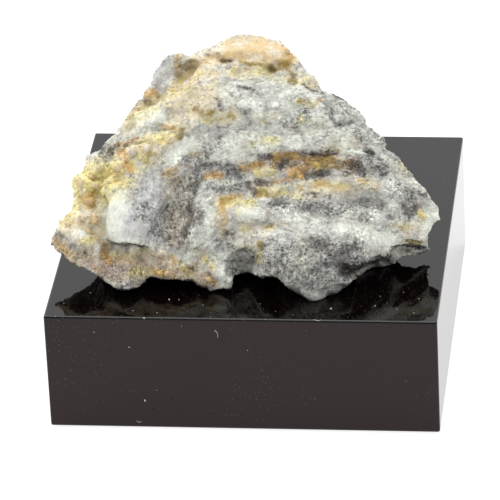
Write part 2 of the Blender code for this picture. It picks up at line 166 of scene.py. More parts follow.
# What shows on the face: for each mineral, strokes of (strength, half-width, points...)
STROKES = {
    "warm": [
        # the top
        (0.9, 0.9, (-3.6, 14.9), (-2.0, 15.6), (1.0, 15.4), (3.0, 15.0)),
        (0.6, 0.6, (-1.6, 13.9), (1.0, 13.8), (3.0, 13.4), (4.6, 12.8)),
        # the left side
        (1.0, 1.5, (-13.6, 4.4), (-11.8, 5.4), (-10.2, 6.4)),
        (0.7, 0.8, (-9.6, 9.8), (-8.0, 11.0), (-6.4, 11.8), (-4.6, 13.6)),
        (0.7, 0.8, (-10.0, 7.4), (-8.2, 8.0), (-6.6, 8.8), (-5.8, 10.0)),
        (1.0, 0.9, (-14.2, 2.0), (-12.0, 1.6)), (0.7, 0.7, (-11.7, 4.0), (-11.7, 2.0)),
        # the upper face
        (0.8, 1.3, (-4.6, 11.0), (-3.6, 13.0)), (0.4, 0.7, (-3.4, 10.2), (-1.4, 10.4)),
        # the right side
        (0.5, 0.6, (12.0, 1.8), (13.4, 1.6)),
        # the middle
        (0.6, 0.6, (-2.3, 3.6), (-1.0, 3.6), (0.2, 3.4)), (0.5, 0.5, (-2.2, 3.0), (-2.1, 1.4)),
        (0.6, 0.6, (0.4, 4.6), (3.2, 4.7), (7.6, 4.8), (9.6, 5.2)), (0.4, 0.8, (-0.8, 1.6), (1.2, 1.4)),
        (0.3, 0.8, (7.0, 1.6), (9.0, 1.8)),
        # the lower left
        (0.7, 0.7, (-10.6, -0.4), (-8.0, -0.5), (-6.2, -0.8)),
    ],
    "tan": [
        # the top
        (0.3, 0.35, (-5.8, 13.6), (-4.6, 14.0)), (0.5, 0.4, (2.2, 14.4), (3.2, 13.4)),
        # the left side
        (0.6, 0.4, (-9.0, 11.2), (-8.0, 11.4)), (0.5, 0.4, (-12.4, 2.5), (-13.2, 2.4)),
        # the upper face
        (0.4, 0.6, (-2.4, 9.9), (-3.2, 10.4)),
        # the middle
        (0.9, 0.75, (2.4, 6.8), (4.4, 6.7), (6.4, 6.8), (7.8, 6.6)), (0.7, 0.5, (3.0, 5.9), (4.4, 6.0)),
        (0.7, 0.5, (-0.8, 6.3), (1.4, 6.5)), (0.7, 0.45, (-3.4, 5.7), (-2.2, 5.8)),
        (0.6, 0.5, (-6.8, 5.7), (-5.8, 6.1)), (0.5, 0.4, (0.2, 5.0), (2.4, 5.3)),
        # the lower left
        (0.9, 1.0, (-15.0, 0.2), (-12.8, -0.8), (-10.6, -1.4), (-8.2, -1.6), (-6.0, -1.7), (-4.2, -2.1)),
        (0.5, 0.5, (-3.2, -1.2), (-2.9, -2.4)),
    ],
    "white": [
        # the top
        (0.5, 0.14, (-5.5, 14.15), (-4.9, 14.5)), (0.4, 0.12, (-5.2, 13.4), (-4.8, 13.75)),
        # The first two strokes on this line and the first on the next, on the crust, are painted highlights
        (0.5, 0.3, (-1.0, 15.9), (-0.5, 16.1)), (0.5, 0.3, (0.0, 15.0), (0.6, 14.9)),
        (0.5, 0.35, (1.6, 15.5), (2.1, 15.2)), (0.5, 0.3, (-6.9, 13.9), (-6.4, 14.3)),
        (0.6, 0.5, (1.0, 12.6), (2.4, 13.0)),
        # the left side
        (0.6, 0.35, (-13.0, 4.6), (-12.9, 3.8)), (0.6, 0.4, (-11.6, 3.9), (-11.3, 3.1)),
        (1.0, 0.75, (-10.6, 0.9), (-10.6, 2.6), (-10.2, 4.0)), (0.7, 0.3, (-10.0, 0.7), (-8.6, 0.6)),
        (0.9, 0.45, (-7.6, 9.9), (-6.8, 10.5)), (0.5, 0.5, (-9.6, 9.2), (-8.2, 9.2)),
        (0.6, 0.3, (-8.9, 10.2), (-7.6, 11.0), (-6.4, 11.5)), (0.5, 0.5, (-11.8, 6.0), (-10.9, 6.9)),
        (0.7, 0.5, (-13.2, 1.4), (-12.0, 1.8)), (0.9, 0.1, (-12.4, 7.2), (-11.7, 7.8), (-10.8, 8.9)),
        # the upper face
        (0.9, 0.5, (-6.3, 7.0), (-5.1, 7.9), (-4.2, 8.6)),
        (1.0, 0.3, (3.0, 12.2), (4.0, 12.5), (4.9, 11.9)), (0.7, 0.4, (-0.8, 11.3), (0.4, 11.6)),
        (0.4, 1.6, (1.6, 11.6), (3.2, 10.8)), (0.4, 1.2, (-2.6, 8.0), (0.0, 8.6)),
        (0.6, 0.4, (0.6, 8.0), (2.6, 8.2), (4.6, 8.6)),
        # the right side
        (0.9, 0.6, (6.8, 1.7), (8.2, 1.8), (9.4, 1.1), (11.0, 0.7)), (0.6, 0.5, (9.6, 2.9), (10.6, 1.9)),
        (0.8, 0.35, (11.0, 3.2), (11.5, 3.4)), (0.7, 0.35, (5.3, 11.1), (5.8, 10.9)),
        (0.5, 1.1, (5.4, 10.0), (7.0, 9.0)), (0.5, 1.0, (7.0, 11.0), (8.0, 10.4)),
        (0.7, 0.4, (7.2, 9.2), (7.3, 8.4)), (0.5, 0.4, (9.8, 9.0), (10.2, 8.2)),
        (0.3, 0.4, (10.8, 7.2), (11.6, 6.2)), (0.6, 0.4, (10.8, 5.4), (11.2, 4.6)),
        (0.5, 0.3, (12.6, 5.4), (13.5, 4.7)), (1.0, 0.5, (14.3, 2.9), (13.9, 2.0), (13.5, 1.0)),
        # the middle
        (0.7, 0.45, (-2.9, 7.2), (-1.6, 7.4), (-0.6, 7.6)),
        (0.7, 0.22, (-3.6, 5.1), (-0.8, 5.4), (0.2, 5.8)),
        (0.7, 0.5, (-3.4, 4.0), (-3.3, 2.6), (-3.6, 0.6)),
        (0.8, 0.35, (-5.0, -0.9), (-4.3, 0.2), (-4.4, 1.6)), (1.0, 0.5, (-0.7, 3.0), (0.6, 2.7)),
        (0.6, 0.45, (2.2, 3.0), (3.8, 2.6), (5.6, 2.1)), (0.6, 0.4, (7.4, 2.5), (8.2, 2.9)),
        (0.8, 0.14, (7.6, 7.75), (9.0, 7.5)),
        # the bulge
        (0.7, 0.3, (3.4, -3.2), (5.0, -3.7), (6.0, -3.4)),
        # the lower left
        (0.5, 0.25, (-10.6, -0.2), (-8.6, -0.1)), (0.8, 0.35, (-2.5, -0.6), (-2.1, -1.4), (-2.0, -2.3)),
        (0.5, 0.3, (-1.6, -2.7), (-1.9, -1.8)),
    ],
    "lilac": [
        (0.9, 0.9, (-6.9, 12.8), (-6.3, 14.2)), (0.5, 0.5, (-3.6, 15.4), (-2.4, 15.7)),
        (0.9, 0.6, (-9.2, 1.2), (-8.8, 3.4)), (0.8, 0.7, (-7.9, 1.2), (-7.6, 3.6), (-7.2, 5.2)),
        (0.8, 0.8, (-8.8, 4.4), (-8.0, 5.4), (-7.4, 6.4)),
        (0.5, 0.5, (4.6, 3.0), (6.2, 2.8)),
    ],
    "sugar": [
        # the left side
        (0.7, 0.6, (-8.6, 2.6), (-8.2, 3.2)),
        # the upper face
        (0.6, 0.5, (-2.2, 8.6), (-3.4, 8.0)), (0.5, 0.8, (4.4, 10.6), (3.0, 9.8)),
        (0.4, 0.6, (0.2, 9.9), (-0.4, 10.8)),
        # the right side
        (0.8, 0.6, (8.6, 2.5), (9.8, 3.4)), (0.55, 1.0, (6.6, 10.8), (8.0, 10.0), (8.6, 8.6)),
        (0.8, 0.9, (8.6, 6.2), (9.4, 6.8), (10.4, 6.0)), (0.8, 0.9, (11.4, 4.6), (12.6, 3.4), (11.8, 2.8)),
        # Along the right outline: partly the edge's grey, partly painted shade that takes back the studio's
        # bright back light
        (0.7, 0.5, (9.8, 9.3), (11.2, 7.6), (12.6, 5.8)),
        # the middle
        (0.8, 0.9, (-7.0, 3.4), (-7.0, 1.4)), (1.0, 0.6, (1.8, 3.6), (4.0, 3.4), (6.4, 3.2), (9.0, 3.4)),
        (0.8, 0.6, (-5.2, 7.2), (-3.4, 6.6), (-1.0, 6.2)), (0.7, 0.6, (-3.0, 4.8), (-1.0, 4.9)),
        # the bulge
        (1.0, 2.0, (2.6, -1.0), (5.0, -1.4), (7.6, -0.4)), (0.6, 1.2, (1.0, -0.6), (2.6, 0.2)),
        # the lower left
        (0.6, 0.5, (-1.4, 0.6), (-0.8, -0.6)),
        (0.5, 0.8, (-14.4, 0.2), (-11.8, -1.4), (-8.4, -1.8), (-4.2, -2.0)),
        (0.6, 0.4, (-10.6, -2.4), (-8.4, -2.4)),
    ],
    "dark": [
        # the top
        (0.4, 0.12, (-5.6, 13.6), (-5.0, 13.9), (-4.4, 14.3)), (0.5, 0.12, (-3.4, 13.0), (-3.2, 13.0)),
        (0.7, 0.1, (-2.2, 14.7), (-1.8, 14.6), (-1.3, 14.65)), (0.5, 0.25, (-7.2, 13.3), (-7.0, 12.9)),
        # the left side
        (1.0, 0.42, (-11.5, 7.9), (-11.1, 7.3)), (0.8, 0.25, (-10.9, 7.9), (-10.3, 7.9)),
        (0.5, 0.3, (-11.9, 6.8), (-11.2, 6.8)), (0.6, 0.3, (-14.9, 1.3), (-14.4, 0.9)),
        (0.6, 0.3, (-13.9, 0.4), (-13.4, 0.3)),
        # the upper face
        (0.6, 0.16, (2.8, 9.75), (3.7, 9.3), (4.1, 8.8)),
        (0.9, 0.12, (-0.9, 12.65), (-0.1, 12.55), (0.4, 12.25)), (0.8, 0.18, (-1.4, 12.1), (-1.1, 12.1)),
        (0.8, 0.26, (-2.5, 11.7), (-2.2, 10.9)), (0.7, 0.1, (-2.6, 9.5), (-2.0, 9.55), (-1.5, 9.8)),
        (0.7, 0.08, (-1.3, 9.35), (-0.5, 9.35)), (0.6, 0.2, (-0.3, 10.6), (-0.1, 10.8)),
        (0.5, 0.2, (-0.1, 9.7), (0.1, 10.0)), (0.6, 0.16, (-4.9, 9.9), (-4.7, 9.9)),
        (0.6, 0.2, (-4.8, 8.9), (-4.6, 8.8)), (0.6, 0.16, (-2.6, 8.5), (-2.4, 8.8)),
        # the right side
        (0.5, 0.5, (9.0, 5.8), (9.8, 4.6)), (1.0, 0.24, (9.0, 7.7), (9.4, 7.5)),
        (0.7, 0.14, (9.6, 7.3), (10.1, 7.0)), (0.6, 0.2, (9.6, 6.4), (9.9, 6.3)),
        (0.7, 0.16, (10.2, 5.9), (10.5, 5.9)), (1.0, 0.3, (12.3, 4.7), (12.7, 4.5)),
        (0.8, 0.18, (12.9, 4.4), (13.6, 4.2)), (1.0, 0.4, (12.2, 2.7), (12.6, 3.1)),
        (0.7, 0.2, (10.7, 2.6), (11.1, 2.4)), (0.8, 0.35, (11.8, 3.6), (12.2, 3.8)),
        (0.8, 0.09, (12.9, 0.1), (13.6, 0.1)), (1.0, 0.12, (12.1, -0.1), (12.3, -0.15)),
        (0.8, 0.12, (10.9, -0.15), (11.3, 0.0)), (0.6, 0.14, (9.9, 1.6), (10.6, 1.7)),
        (0.5, 0.4, (10.1, 3.5), (10.4, 3.3)), (0.5, 0.3, (8.2, 4.7), (9.0, 4.7)),
        (0.8, 0.16, (5.9, 11.0), (6.3, 10.3), (6.6, 9.8)), (0.7, 0.18, (6.8, 9.8), (8.0, 9.9)),
        (0.9, 0.1, (4.1, 12.85), (5.0, 12.3), (6.1, 12.3), (7.1, 11.7), (8.0, 11.1)),
        (0.5, 0.3, (8.0, 8.9), (8.6, 8.3)),
        # the middle
        (0.8, 0.4, (-4.1, 6.1), (-4.1, 5.3), (-4.3, 4.6)),
        (0.7, 0.32, (-3.9, 6.4), (-2.8, 6.75), (-1.6, 6.5), (-0.9, 6.2)),
        (0.7, 0.35, (-1.4, 5.8), (-0.6, 5.6)), (0.9, 0.26, (-0.3, 5.3), (0.1, 4.9), (0.3, 4.5)),
        (1.0, 0.26, (0.7, 7.2), (1.5, 7.2)), (0.9, 0.25, (2.2, 6.2), (2.8, 6.9)),
        (0.5, 0.25, (3.0, 6.6), (3.5, 6.5)), (0.8, 0.4, (0.8, 5.3), (1.3, 5.3)),
        (0.9, 0.18, (3.8, 7.5), (5.4, 7.6), (6.8, 7.5), (7.6, 7.2)),
        (1.0, 0.3, (4.6, 5.7), (5.6, 5.85), (6.4, 6.0)), (0.7, 0.25, (6.4, 5.9), (7.6, 6.0)),
        (0.9, 0.3, (6.9, 6.9), (7.6, 6.6), (8.6, 6.2)), (0.9, 0.4, (8.2, 6.9), (8.7, 5.9)),
        (0.9, 0.22, (4.2, 4.35), (5.2, 4.3)), (0.7, 0.2, (5.6, 4.3), (6.2, 4.1)),
        (0.6, 0.35, (1.7, 3.7), (3.3, 3.6)), (0.5, 0.35, (4.0, 3.4), (6.0, 3.3)),
        (0.7, 0.28, (-4.6, 3.6), (-4.7, 2.9)), (0.7, 0.28, (-4.9, 1.9), (-5.4, 0.6)),
        (0.5, 0.25, (-6.4, 3.4), (-6.6, 2.9)), (0.7, 0.3, (-3.8, 2.8), (-3.8, 2.1)),
        (0.6, 0.2, (-4.4, 2.5), (-4.3, 2.3)), (0.8, 0.3, (-1.9, 1.3), (-1.3, 1.5)),
        (0.8, 0.28, (-2.4, 0.7), (-2.2, 0.0)), (0.6, 0.3, (-1.9, 0.8), (-1.7, 0.0)),
        (0.7, 0.22, (-2.5, 4.9), (-2.3, 4.5)), (0.6, 0.2, (-3.7, 4.3), (-3.4, 4.1)),
        (0.5, 0.25, (8.2, 2.4), (8.7, 2.4)), (0.6, 0.3, (-5.0, 7.3), (-4.6, 7.2)),
        (0.7, 0.2, (-3.6, 7.5), (-3.2, 7.3)), (0.5, 0.2, (-5.8, 0.2), (-5.2, 0.4)),
        # the bulge
        (1.0, 0.5, (5.0, 0.6), (5.9, 0.5)), (0.8, 0.7, (7.1, -0.5), (7.6, -1.6)),
        (0.5, 0.8, (5.8, -0.4), (6.8, -0.9)), (0.6, 0.4, (4.6, -1.6), (5.3, -1.5)),
        (0.7, 0.4, (7.2, 0.4), (8.0, 0.3)), (0.6, 0.4, (8.4, -0.6), (8.0, -1.4)),
        (0.5, 0.3, (3.5, -1.3), (4.2, -1.2)), (0.5, 0.25, (3.4, 0.2), (3.7, 0.0)),
        (0.5, 0.3, (4.1, -2.6), (4.6, -2.7)), (0.4, 0.4, (2.0, -0.6), (2.2, -1.2)),
        (0.5, 0.2, (5.9, 1.1), (6.4, 1.2)),
        # the lower left
        (0.9, 0.4, (-1.6, -1.7), (-0.4, -1.5)), (0.6, 0.3, (-1.0, -0.9), (0.0, -1.0)),
        (0.7, 0.14, (-1.8, -2.4), (-1.5, -2.7)), (0.6, 0.3, (-10.0, -2.7), (-9.4, -2.6)),
        (0.6, 0.12, (-4.8, -1.3), (-4.0, -1.6)), (0.5, 0.3, (-8.6, -0.6), (-8.4, -0.7)),
        (0.5, 0.25, (-12.8, -0.2), (-12.4, -0.2)),
    ],
    "yellow": [
        # the top
        (0.5, 0.5, (-1.0, 13.8), (1.0, 13.8), (2.6, 13.3)), (0.5, 0.5, (3.2, 13.9), (4.2, 13.2)),
        # the left side
        (0.85, 1.5, (-13.2, 4.8), (-12.0, 5.3), (-10.4, 5.6)), (0.8, 0.6, (-11.3, 4.8), (-11.2, 3.9)),
        (0.6, 0.9, (-9.6, 5.6), (-9.1, 6.6), (-7.8, 7.2)), (0.5, 0.8, (-8.0, 8.6), (-6.4, 8.8)),
        (0.6, 0.5, (-14.4, 2.2), (-14.1, 2.6)), (0.8, 0.35, (-12.9, 0.6), (-12.4, 0.7)),
        # the upper face
        (0.45, 0.7, (-9.4, 10.1), (-7.6, 11.0), (-6.2, 11.7), (-5.2, 13.0), (-4.4, 13.9)),
        (0.6, 0.3, (3.6, 11.6), (5.0, 11.3)), (0.4, 0.4, (0.6, 10.2), (1.1, 10.0)),
        (0.5, 0.35, (3.9, 10.2), (4.1, 9.9)), (0.35, 0.35, (-1.1, 8.9), (-0.4, 9.0)),
        (0.5, 0.5, (1.2, 8.5), (2.0, 8.5)), (0.5, 0.3, (0.1, 8.1), (0.5, 8.3)),
        (0.4, 0.4, (1.4, 10.7), (1.8, 10.5)), (0.4, 0.5, (-2.6, 10.5), (-1.2, 10.5)),
        (0.7, 0.35, (-3.4, 10.0), (-3.1, 10.2)),
        # the right side
        (0.6, 0.35, (13.1, 2.9), (13.4, 2.5)), (0.5, 0.3, (12.0, 0.8), (13.0, 0.6)),
        (0.35, 0.5, (11.8, 6.6), (12.3, 6.1)), (0.5, 0.3, (11.6, 2.0), (12.4, 1.9)),
        (0.4, 0.6, (9.0, 5.5), (9.8, 5.1)),
        # the middle
        (0.5, 0.4, (-0.6, 1.6), (0.2, 1.9), (1.6, 1.8)), (0.8, 0.4, (-2.1, 3.8), (-0.8, 3.8), (0.3, 3.6)),
        (0.6, 0.35, (-2.1, 3.2), (-1.9, 2.2)), (0.5, 0.3, (-1.0, 2.7), (-0.9, 3.3)),
        (0.7, 0.4, (0.5, 6.0), (1.8, 6.1)), (0.7, 0.4, (0.9, 4.6), (2.2, 4.6), (3.8, 4.3)),
        (0.4, 0.4, (3.6, 4.9), (5.6, 5.0), (7.6, 4.8)), (0.6, 0.3, (0.7, 0.6), (0.8, -0.8)),
        # the lower left
        (0.35, 0.4, (-10.6, -0.3), (-8.8, -0.3), (-7.6, 0.0)), (0.6, 0.5, (-9.0, -1.8), (-7.4, -1.7)),
        (0.6, 0.35, (-3.5, -0.8), (-2.9, -1.2)), (0.5, 0.4, (-5.6, -1.2), (-4.2, -2.0)),
    ],
    "olive": [
        # the top
        (0.9, 0.4, (1.5, 14.0), (2.0, 13.8)), (0.9, 0.35, (3.4, 13.6), (3.4, 13.2)),
        (0.8, 0.22, (3.0, 13.0), (3.1, 13.3)), (0.6, 0.3, (2.2, 14.5), (3.0, 14.6)),
        # The first stroke, a thin line under the crust's edge, is partly its olive colour, partly a painted
        # shadow of the crust's overhang
        (0.7, 0.14, (-0.8, 14.55), (0.2, 14.45), (1.1, 14.25)), (0.5, 0.25, (-5.7, 13.8), (-5.4, 13.3)),
        # the left side
        (0.7, 0.2, (-7.8, 7.2), (-7.4, 7.5)), (0.6, 0.3, (-8.0, 6.8), (-7.6, 7.8)),
        (0.6, 0.4, (-9.6, 10.5), (-9.3, 10.2)), (0.5, 0.16, (-8.6, 10.9), (-7.2, 11.6), (-6.4, 12.6)),
        (0.5, 0.2, (-9.9, 6.9), (-8.9, 7.2)), (0.5, 0.15, (-7.6, 8.2), (-6.9, 8.0)),
        (0.5, 0.3, (-8.9, 11.2), (-8.0, 11.3)), (0.5, 0.2, (-7.4, 9.7), (-6.8, 9.5)),
        (0.5, 0.25, (-10.0, 9.3), (-9.9, 9.6)), (0.5, 0.3, (-11.3, 4.8), (-11.0, 4.4)),
        (0.5, 0.15, (-12.4, 5.7), (-11.8, 5.5)),
        # the upper face
        (0.9, 0.3, (-4.3, 10.95), (-3.6, 10.6), (-3.0, 10.6)), (0.6, 0.3, (-3.6, 10.4), (-3.3, 10.1)),
        (0.5, 0.25, (-2.6, 10.3), (-1.3, 10.4)), (0.7, 0.3, (-5.5, 8.7), (-5.3, 9.4)),
        (0.8, 0.22, (3.8, 11.6), (4.4, 11.45)), (0.6, 0.2, (4.4, 11.4), (5.0, 11.1)),
        (0.5, 0.2, (-6.5, 10.5), (-6.5, 10.0)),
        # the right side
        (0.5, 0.3, (5.8, 7.6), (6.8, 7.7)), (0.8, 0.12, (12.0, 0.7), (13.3, 0.6)),
        # the middle
        (0.8, 0.3, (0.7, 0.6), (0.8, 0.1)), (0.5, 0.3, (0.8, -0.4), (0.7, -1.0)),
        (0.7, 0.24, (0.0, 1.7), (1.6, 1.9)), (0.4, 0.3, (-0.6, 1.2), (-0.2, 1.6)),
        (0.7, 0.45, (5.2, 6.7), (6.8, 6.7), (8.0, 6.5)), (0.45, 0.3, (1.9, 7.1), (3.0, 7.4), (4.2, 7.2)),
        (0.5, 0.3, (0.6, 4.5), (2.2, 4.4)), (0.6, 0.3, (-4.6, 7.6), (-3.9, 7.5)),
        (0.4, 0.3, (-2.0, 3.9), (-1.0, 4.2)),
        # the lower left
        (0.5, 0.5, (-5.0, -1.5), (-4.2, -1.9)),
    ],
    "gold": [
        # the top
        (0.3, 0.16, (-5.8, 13.5), (-4.5, 14.1)), (0.5, 0.25, (1.6, 13.9), (2.6, 14.4), (3.3, 13.5)),
        # the left side
        (0.7, 0.14, (-10.4, 8.1), (-9.5, 8.4), (-8.6, 8.6)), (0.5, 0.2, (-7.9, 7.3), (-7.4, 7.4)),
        # the middle
        (0.9, 0.4, (1.8, 7.1), (3.0, 7.3), (4.2, 7.1)), (1.0, 0.55, (4.2, 6.7), (5.4, 6.9), (6.6, 6.8)),
        (0.9, 0.4, (6.6, 6.9), (7.8, 6.6)), (0.6, 0.4, (3.4, 6.3), (4.4, 6.3)),
        (0.9, 0.3, (-0.6, 6.4), (0.1, 6.6), (1.0, 6.7)), (0.4, 0.3, (-3.5, 5.6), (-2.7, 5.9), (-2.1, 5.7)),
        (0.5, 0.3, (0.6, 4.5), (2.0, 4.4)),
    ],
    "ochre": [
        # the top
        # The first stroke, a thin line under the crust's edge, is partly its ochre colour, partly a painted
        # shadow of the crust's overhang
        (0.5, 0.12, (-0.8, 14.55), (0.2, 14.4), (1.0, 14.25)), (0.7, 0.25, (2.4, 14.5), (3.0, 14.7)),
        (0.5, 0.3, (3.0, 15.0), (3.2, 14.8)), (0.4, 0.25, (-5.6, 14.4), (-5.6, 15.1)),
        (0.4, 0.3, (-2.8, 13.8), (-2.3, 13.3)), (0.4, 0.3, (-3.0, 15.0), (-3.5, 14.6)),
        (0.35, 0.35, (-1.9, 15.3), (-0.8, 15.2)), (0.35, 0.3, (0.4, 15.9), (1.2, 15.8)),
        (0.3, 0.3, (2.2, 14.9), (2.8, 15.0)),
        # the left side
        (1.0, 0.45, (-12.6, 4.0), (-12.5, 3.5)), (0.7, 0.3, (-12.3, 2.7), (-12.1, 2.2)),
        (0.6, 0.28, (-13.1, 2.7), (-13.1, 2.2)), (0.9, 0.35, (-9.9, 7.6), (-9.7, 6.9)),
        (1.0, 0.35, (-9.5, 6.7), (-9.3, 6.3)), (0.5, 0.3, (-10.6, 5.8), (-10.0, 5.3)),
        (0.9, 0.15, (-10.4, 8.1), (-9.5, 8.4), (-8.6, 8.6)), (0.9, 0.35, (-7.9, 12.1), (-7.5, 12.2)),
        # the upper face
        (0.8, 0.14, (-7.1, 9.5), (-5.8, 9.4)), (0.5, 0.2, (-6.7, 11.4), (-6.3, 11.1)),
        # the right side
        (0.6, 0.16, (8.4, 5.4), (9.2, 5.1), (9.6, 4.9)), (0.8, 0.15, (5.2, 11.75), (5.4, 11.6)),
        (0.5, 0.2, (13.2, 2.9), (13.3, 2.6)), (0.4, 0.2, (10.4, 1.9), (11.8, 1.8)),
        # the middle
        (0.8, 0.35, (3.2, 6.2), (4.2, 6.3)), (0.9, 0.3, (3.0, 5.75), (4.0, 5.8)),
        (0.8, 0.22, (1.8, 5.3), (3.0, 5.4)), (0.7, 0.25, (5.0, 6.7), (5.8, 6.9)),
        (0.7, 0.25, (-0.3, 6.5), (0.6, 6.7)), (0.4, 0.3, (1.0, 6.5), (2.0, 6.4)),
        (0.8, 0.24, (-3.2, 5.7), (-2.4, 5.8)), (0.7, 0.2, (-1.8, 4.0), (-0.7, 4.3)),
        (0.7, 0.25, (-2.1, 3.9), (-2.0, 2.8), (-2.1, 1.8)), (0.6, 0.2, (0.5, 4.3), (0.8, 4.3)),
        (0.5, 0.16, (1.2, 4.3), (1.8, 4.6)), (0.5, 0.16, (3.4, 5.0), (4.4, 4.7)),
        (0.6, 0.2, (4.6, 5.0), (5.8, 5.0)), (0.5, 0.16, (7.5, 7.2), (8.0, 7.2)),
        (0.5, 0.2, (-6.6, 6.0), (-5.6, 6.4)), (0.4, 0.2, (1.4, 2.9), (1.7, 2.2)),
        # the lower left
        (0.9, 0.3, (-11.2, 0.4), (-11.2, 0.0)), (0.9, 0.35, (-11.3, -0.4), (-11.1, -0.8)),
        (0.6, 0.4, (-14.6, 0.2), (-13.8, -0.5)), (0.7, 0.3, (-7.3, -1.7), (-6.0, -2.0)),
        (0.6, 0.22, (-6.1, -0.5), (-5.6, -1.0)), (0.6, 0.3, (-3.3, -2.6), (-2.7, -2.6)),
        (0.5, 0.16, (-10.4, -0.8), (-9.0, -0.9)), (0.5, 0.3, (-12.0, -1.4), (-11.5, -1.6)),
        (0.4, 0.3, (-9.9, -0.2), (-9.7, -0.3)),
    ],
    "rust": [
        # the top
        (0.35, 0.22, (-5.4, 14.4), (-4.6, 14.6)), (0.7, 0.16, (-4.9, 14.1), (-4.3, 14.2)),
        (0.4, 0.2, (-5.8, 13.6), (-5.3, 13.5)), (0.6, 0.12, (-5.3, 14.3), (-5.1, 14.1)),
        (0.6, 0.22, (1.6, 14.0), (1.9, 13.85)), (0.5, 0.2, (3.4, 13.5), (3.4, 13.2)),
        (0.5, 0.14, (2.8, 15.4), (3.0, 15.2)), (0.5, 0.12, (4.9, 13.6), (5.4, 13.0)),
        (0.4, 0.1, (-0.8, 15.3), (-0.7, 15.2)),
        # the left side
        (0.7, 0.08, (-9.0, 8.6), (-8.5, 8.65)), (0.5, 0.2, (-8.5, 11.6), (-7.7, 11.5)),
        (0.5, 0.15, (-7.4, 7.2), (-7.3, 7.4)), (0.5, 0.1, (-10.4, 8.0), (-10.2, 8.1)),
        # the right side
        (0.6, 0.14, (12.4, 0.55), (13.1, 0.4)),
        # the middle
        (0.8, 0.14, (3.4, 5.6), (3.7, 5.7)), (0.7, 0.16, (4.6, 7.3), (5.6, 7.3)),
        (0.7, 0.2, (7.0, 6.9), (7.9, 6.6)), (0.6, 0.2, (2.1, 6.7), (2.6, 6.3)),
        (0.5, 0.16, (-6.8, 5.85), (-6.3, 6.05)), (0.6, 0.24, (4.3, 6.1), (5.0, 6.0)),
        (0.6, 0.2, (4.2, 4.3), (5.0, 4.3)), (0.5, 0.2, (0.1, 4.8), (0.3, 4.4)),
        (0.4, 0.2, (1.1, 7.2), (1.9, 6.8)), (0.5, 0.1, (2.0, 5.95), (2.6, 5.95)),
        (0.6, 0.1, (0.7, 0.0), (0.95, 0.0)),
        # the lower left
        # A painted shadow line under the slab's lower edge
        (0.6, 0.1, (-10.0, 0.35), (-9.6, 0.2)),
    ],
    "cream": [
        # the top
        (1.0, 0.9, (-1.2, 15.8), (0.2, 15.8), (1.6, 15.5), (2.6, 15.2)),
        (0.5, 0.5, (-3.4, 15.0), (-2.4, 15.2)), (0.9, 0.5, (-1.8, 14.95), (0.0, 14.85), (1.6, 14.6)),
        (0.7, 0.5, (-5.9, 12.2), (-5.0, 13.2), (-4.2, 14.0)), (0.7, 0.4, (-5.7, 14.2), (-5.5, 15.2)),
        # the left side
        (0.5, 0.5, (-13.2, 5.2), (-12.6, 4.9)), (0.8, 0.35, (-12.0, 5.1), (-11.9, 4.8)),
        (0.5, 0.4, (-10.3, 6.3), (-10.1, 6.1)), (0.6, 0.4, (-9.2, 7.4), (-8.4, 7.8)),
        (0.4, 0.4, (-14.3, 2.4), (-14.0, 1.8)),
        # the upper face
        (0.6, 0.5, (-6.8, 8.3), (-5.8, 8.9)),
        # the right side
        (0.5, 0.5, (12.4, 1.6), (13.2, 1.4)),
        # the middle
        (0.5, 0.35, (6.6, 4.8), (7.9, 4.7)), (0.5, 0.3, (5.2, 5.3), (6.0, 5.2)),
        (0.5, 0.3, (8.2, 5.4), (8.8, 5.4)),
        # the lower left
        (0.5, 0.4, (-10.4, -0.2), (-9.4, -0.6)), (0.6, 0.4, (-10.8, -0.2), (-9.6, -0.3)),
        (0.5, 0.3, (-8.6, -1.2), (-7.4, -1.4)), (0.5, 0.3, (-12.4, -0.6), (-12.0, -0.4)),
    ],
    "beige": [
        # the top
        (0.8, 0.6, (4.4, 13.4), (4.8, 13.0)),
        # the left side
        (0.6, 0.6, (-8.2, 8.0), (-7.4, 8.2)), (0.6, 0.5, (-11.9, 6.6), (-11.4, 6.2)),
        (0.5, 0.4, (-8.6, 11.0), (-7.6, 11.2)),
        # the upper face
        (0.9, 1.3, (-4.4, 13.0), (-3.8, 11.4)), (0.7, 0.6, (-6.0, 10.4), (-5.0, 10.4)),
        # the right side
        (0.5, 0.5, (12.0, 1.9), (13.0, 1.9)), (0.5, 0.4, (5.0, 9.8), (6.2, 9.6)),
        # the middle
        (0.5, 0.5, (-0.8, 0.4), (-0.2, 0.2)), (0.5, 0.5, (2.2, 1.9), (3.4, 2.0)),
        (0.5, 0.4, (-6.4, 5.4), (-5.6, 5.6)),
        # the lower left
        (0.6, 0.5, (-3.9, 0.2), (-3.6, -0.6)),
    ],
    "mauve": [
        # the top
        # On the crust: the pink of its painted highlights
        (0.4, 0.3, (0.2, 15.1), (-0.8, 16.0)),
        # the left side
        (0.5, 0.4, (-13.4, 1.6), (-12.0, 1.4)), (0.4, 0.4, (-8.6, 2.2), (-8.9, 1.4)),
        # the upper face
        (0.5, 0.3, (-1.1, 9.7), (-0.3, 9.6)), (0.5, 0.3, (-4.9, 12.6), (-4.7, 12.0)),
        # the right side
        (0.5, 0.5, (12.3, 3.3), (12.9, 3.4)), (0.4, 0.5, (5.2, 9.8), (6.3, 9.3)),
        # the middle
        (0.5, 0.4, (3.2, 5.0), (4.2, 4.6)), (0.5, 0.4, (6.8, 4.3), (7.6, 4.0)),
        (0.4, 0.4, (1.4, 3.0), (1.7, 2.9)),
        # the bulge
        (0.5, 0.4, (7.2, -0.8), (7.6, -1.4)),
        # the lower left
        (0.7, 0.8, (-12.2, -1.3), (-10.6, -1.4)), (0.8, 0.7, (-9.0, -0.9), (-7.4, -0.8)),
        (0.6, 0.5, (-5.2, -1.6), (-3.8, -2.3)), (0.5, 0.4, (-10.2, -2.4), (-9.3, -2.6)),
    ],
    "umber": [
        # the left side
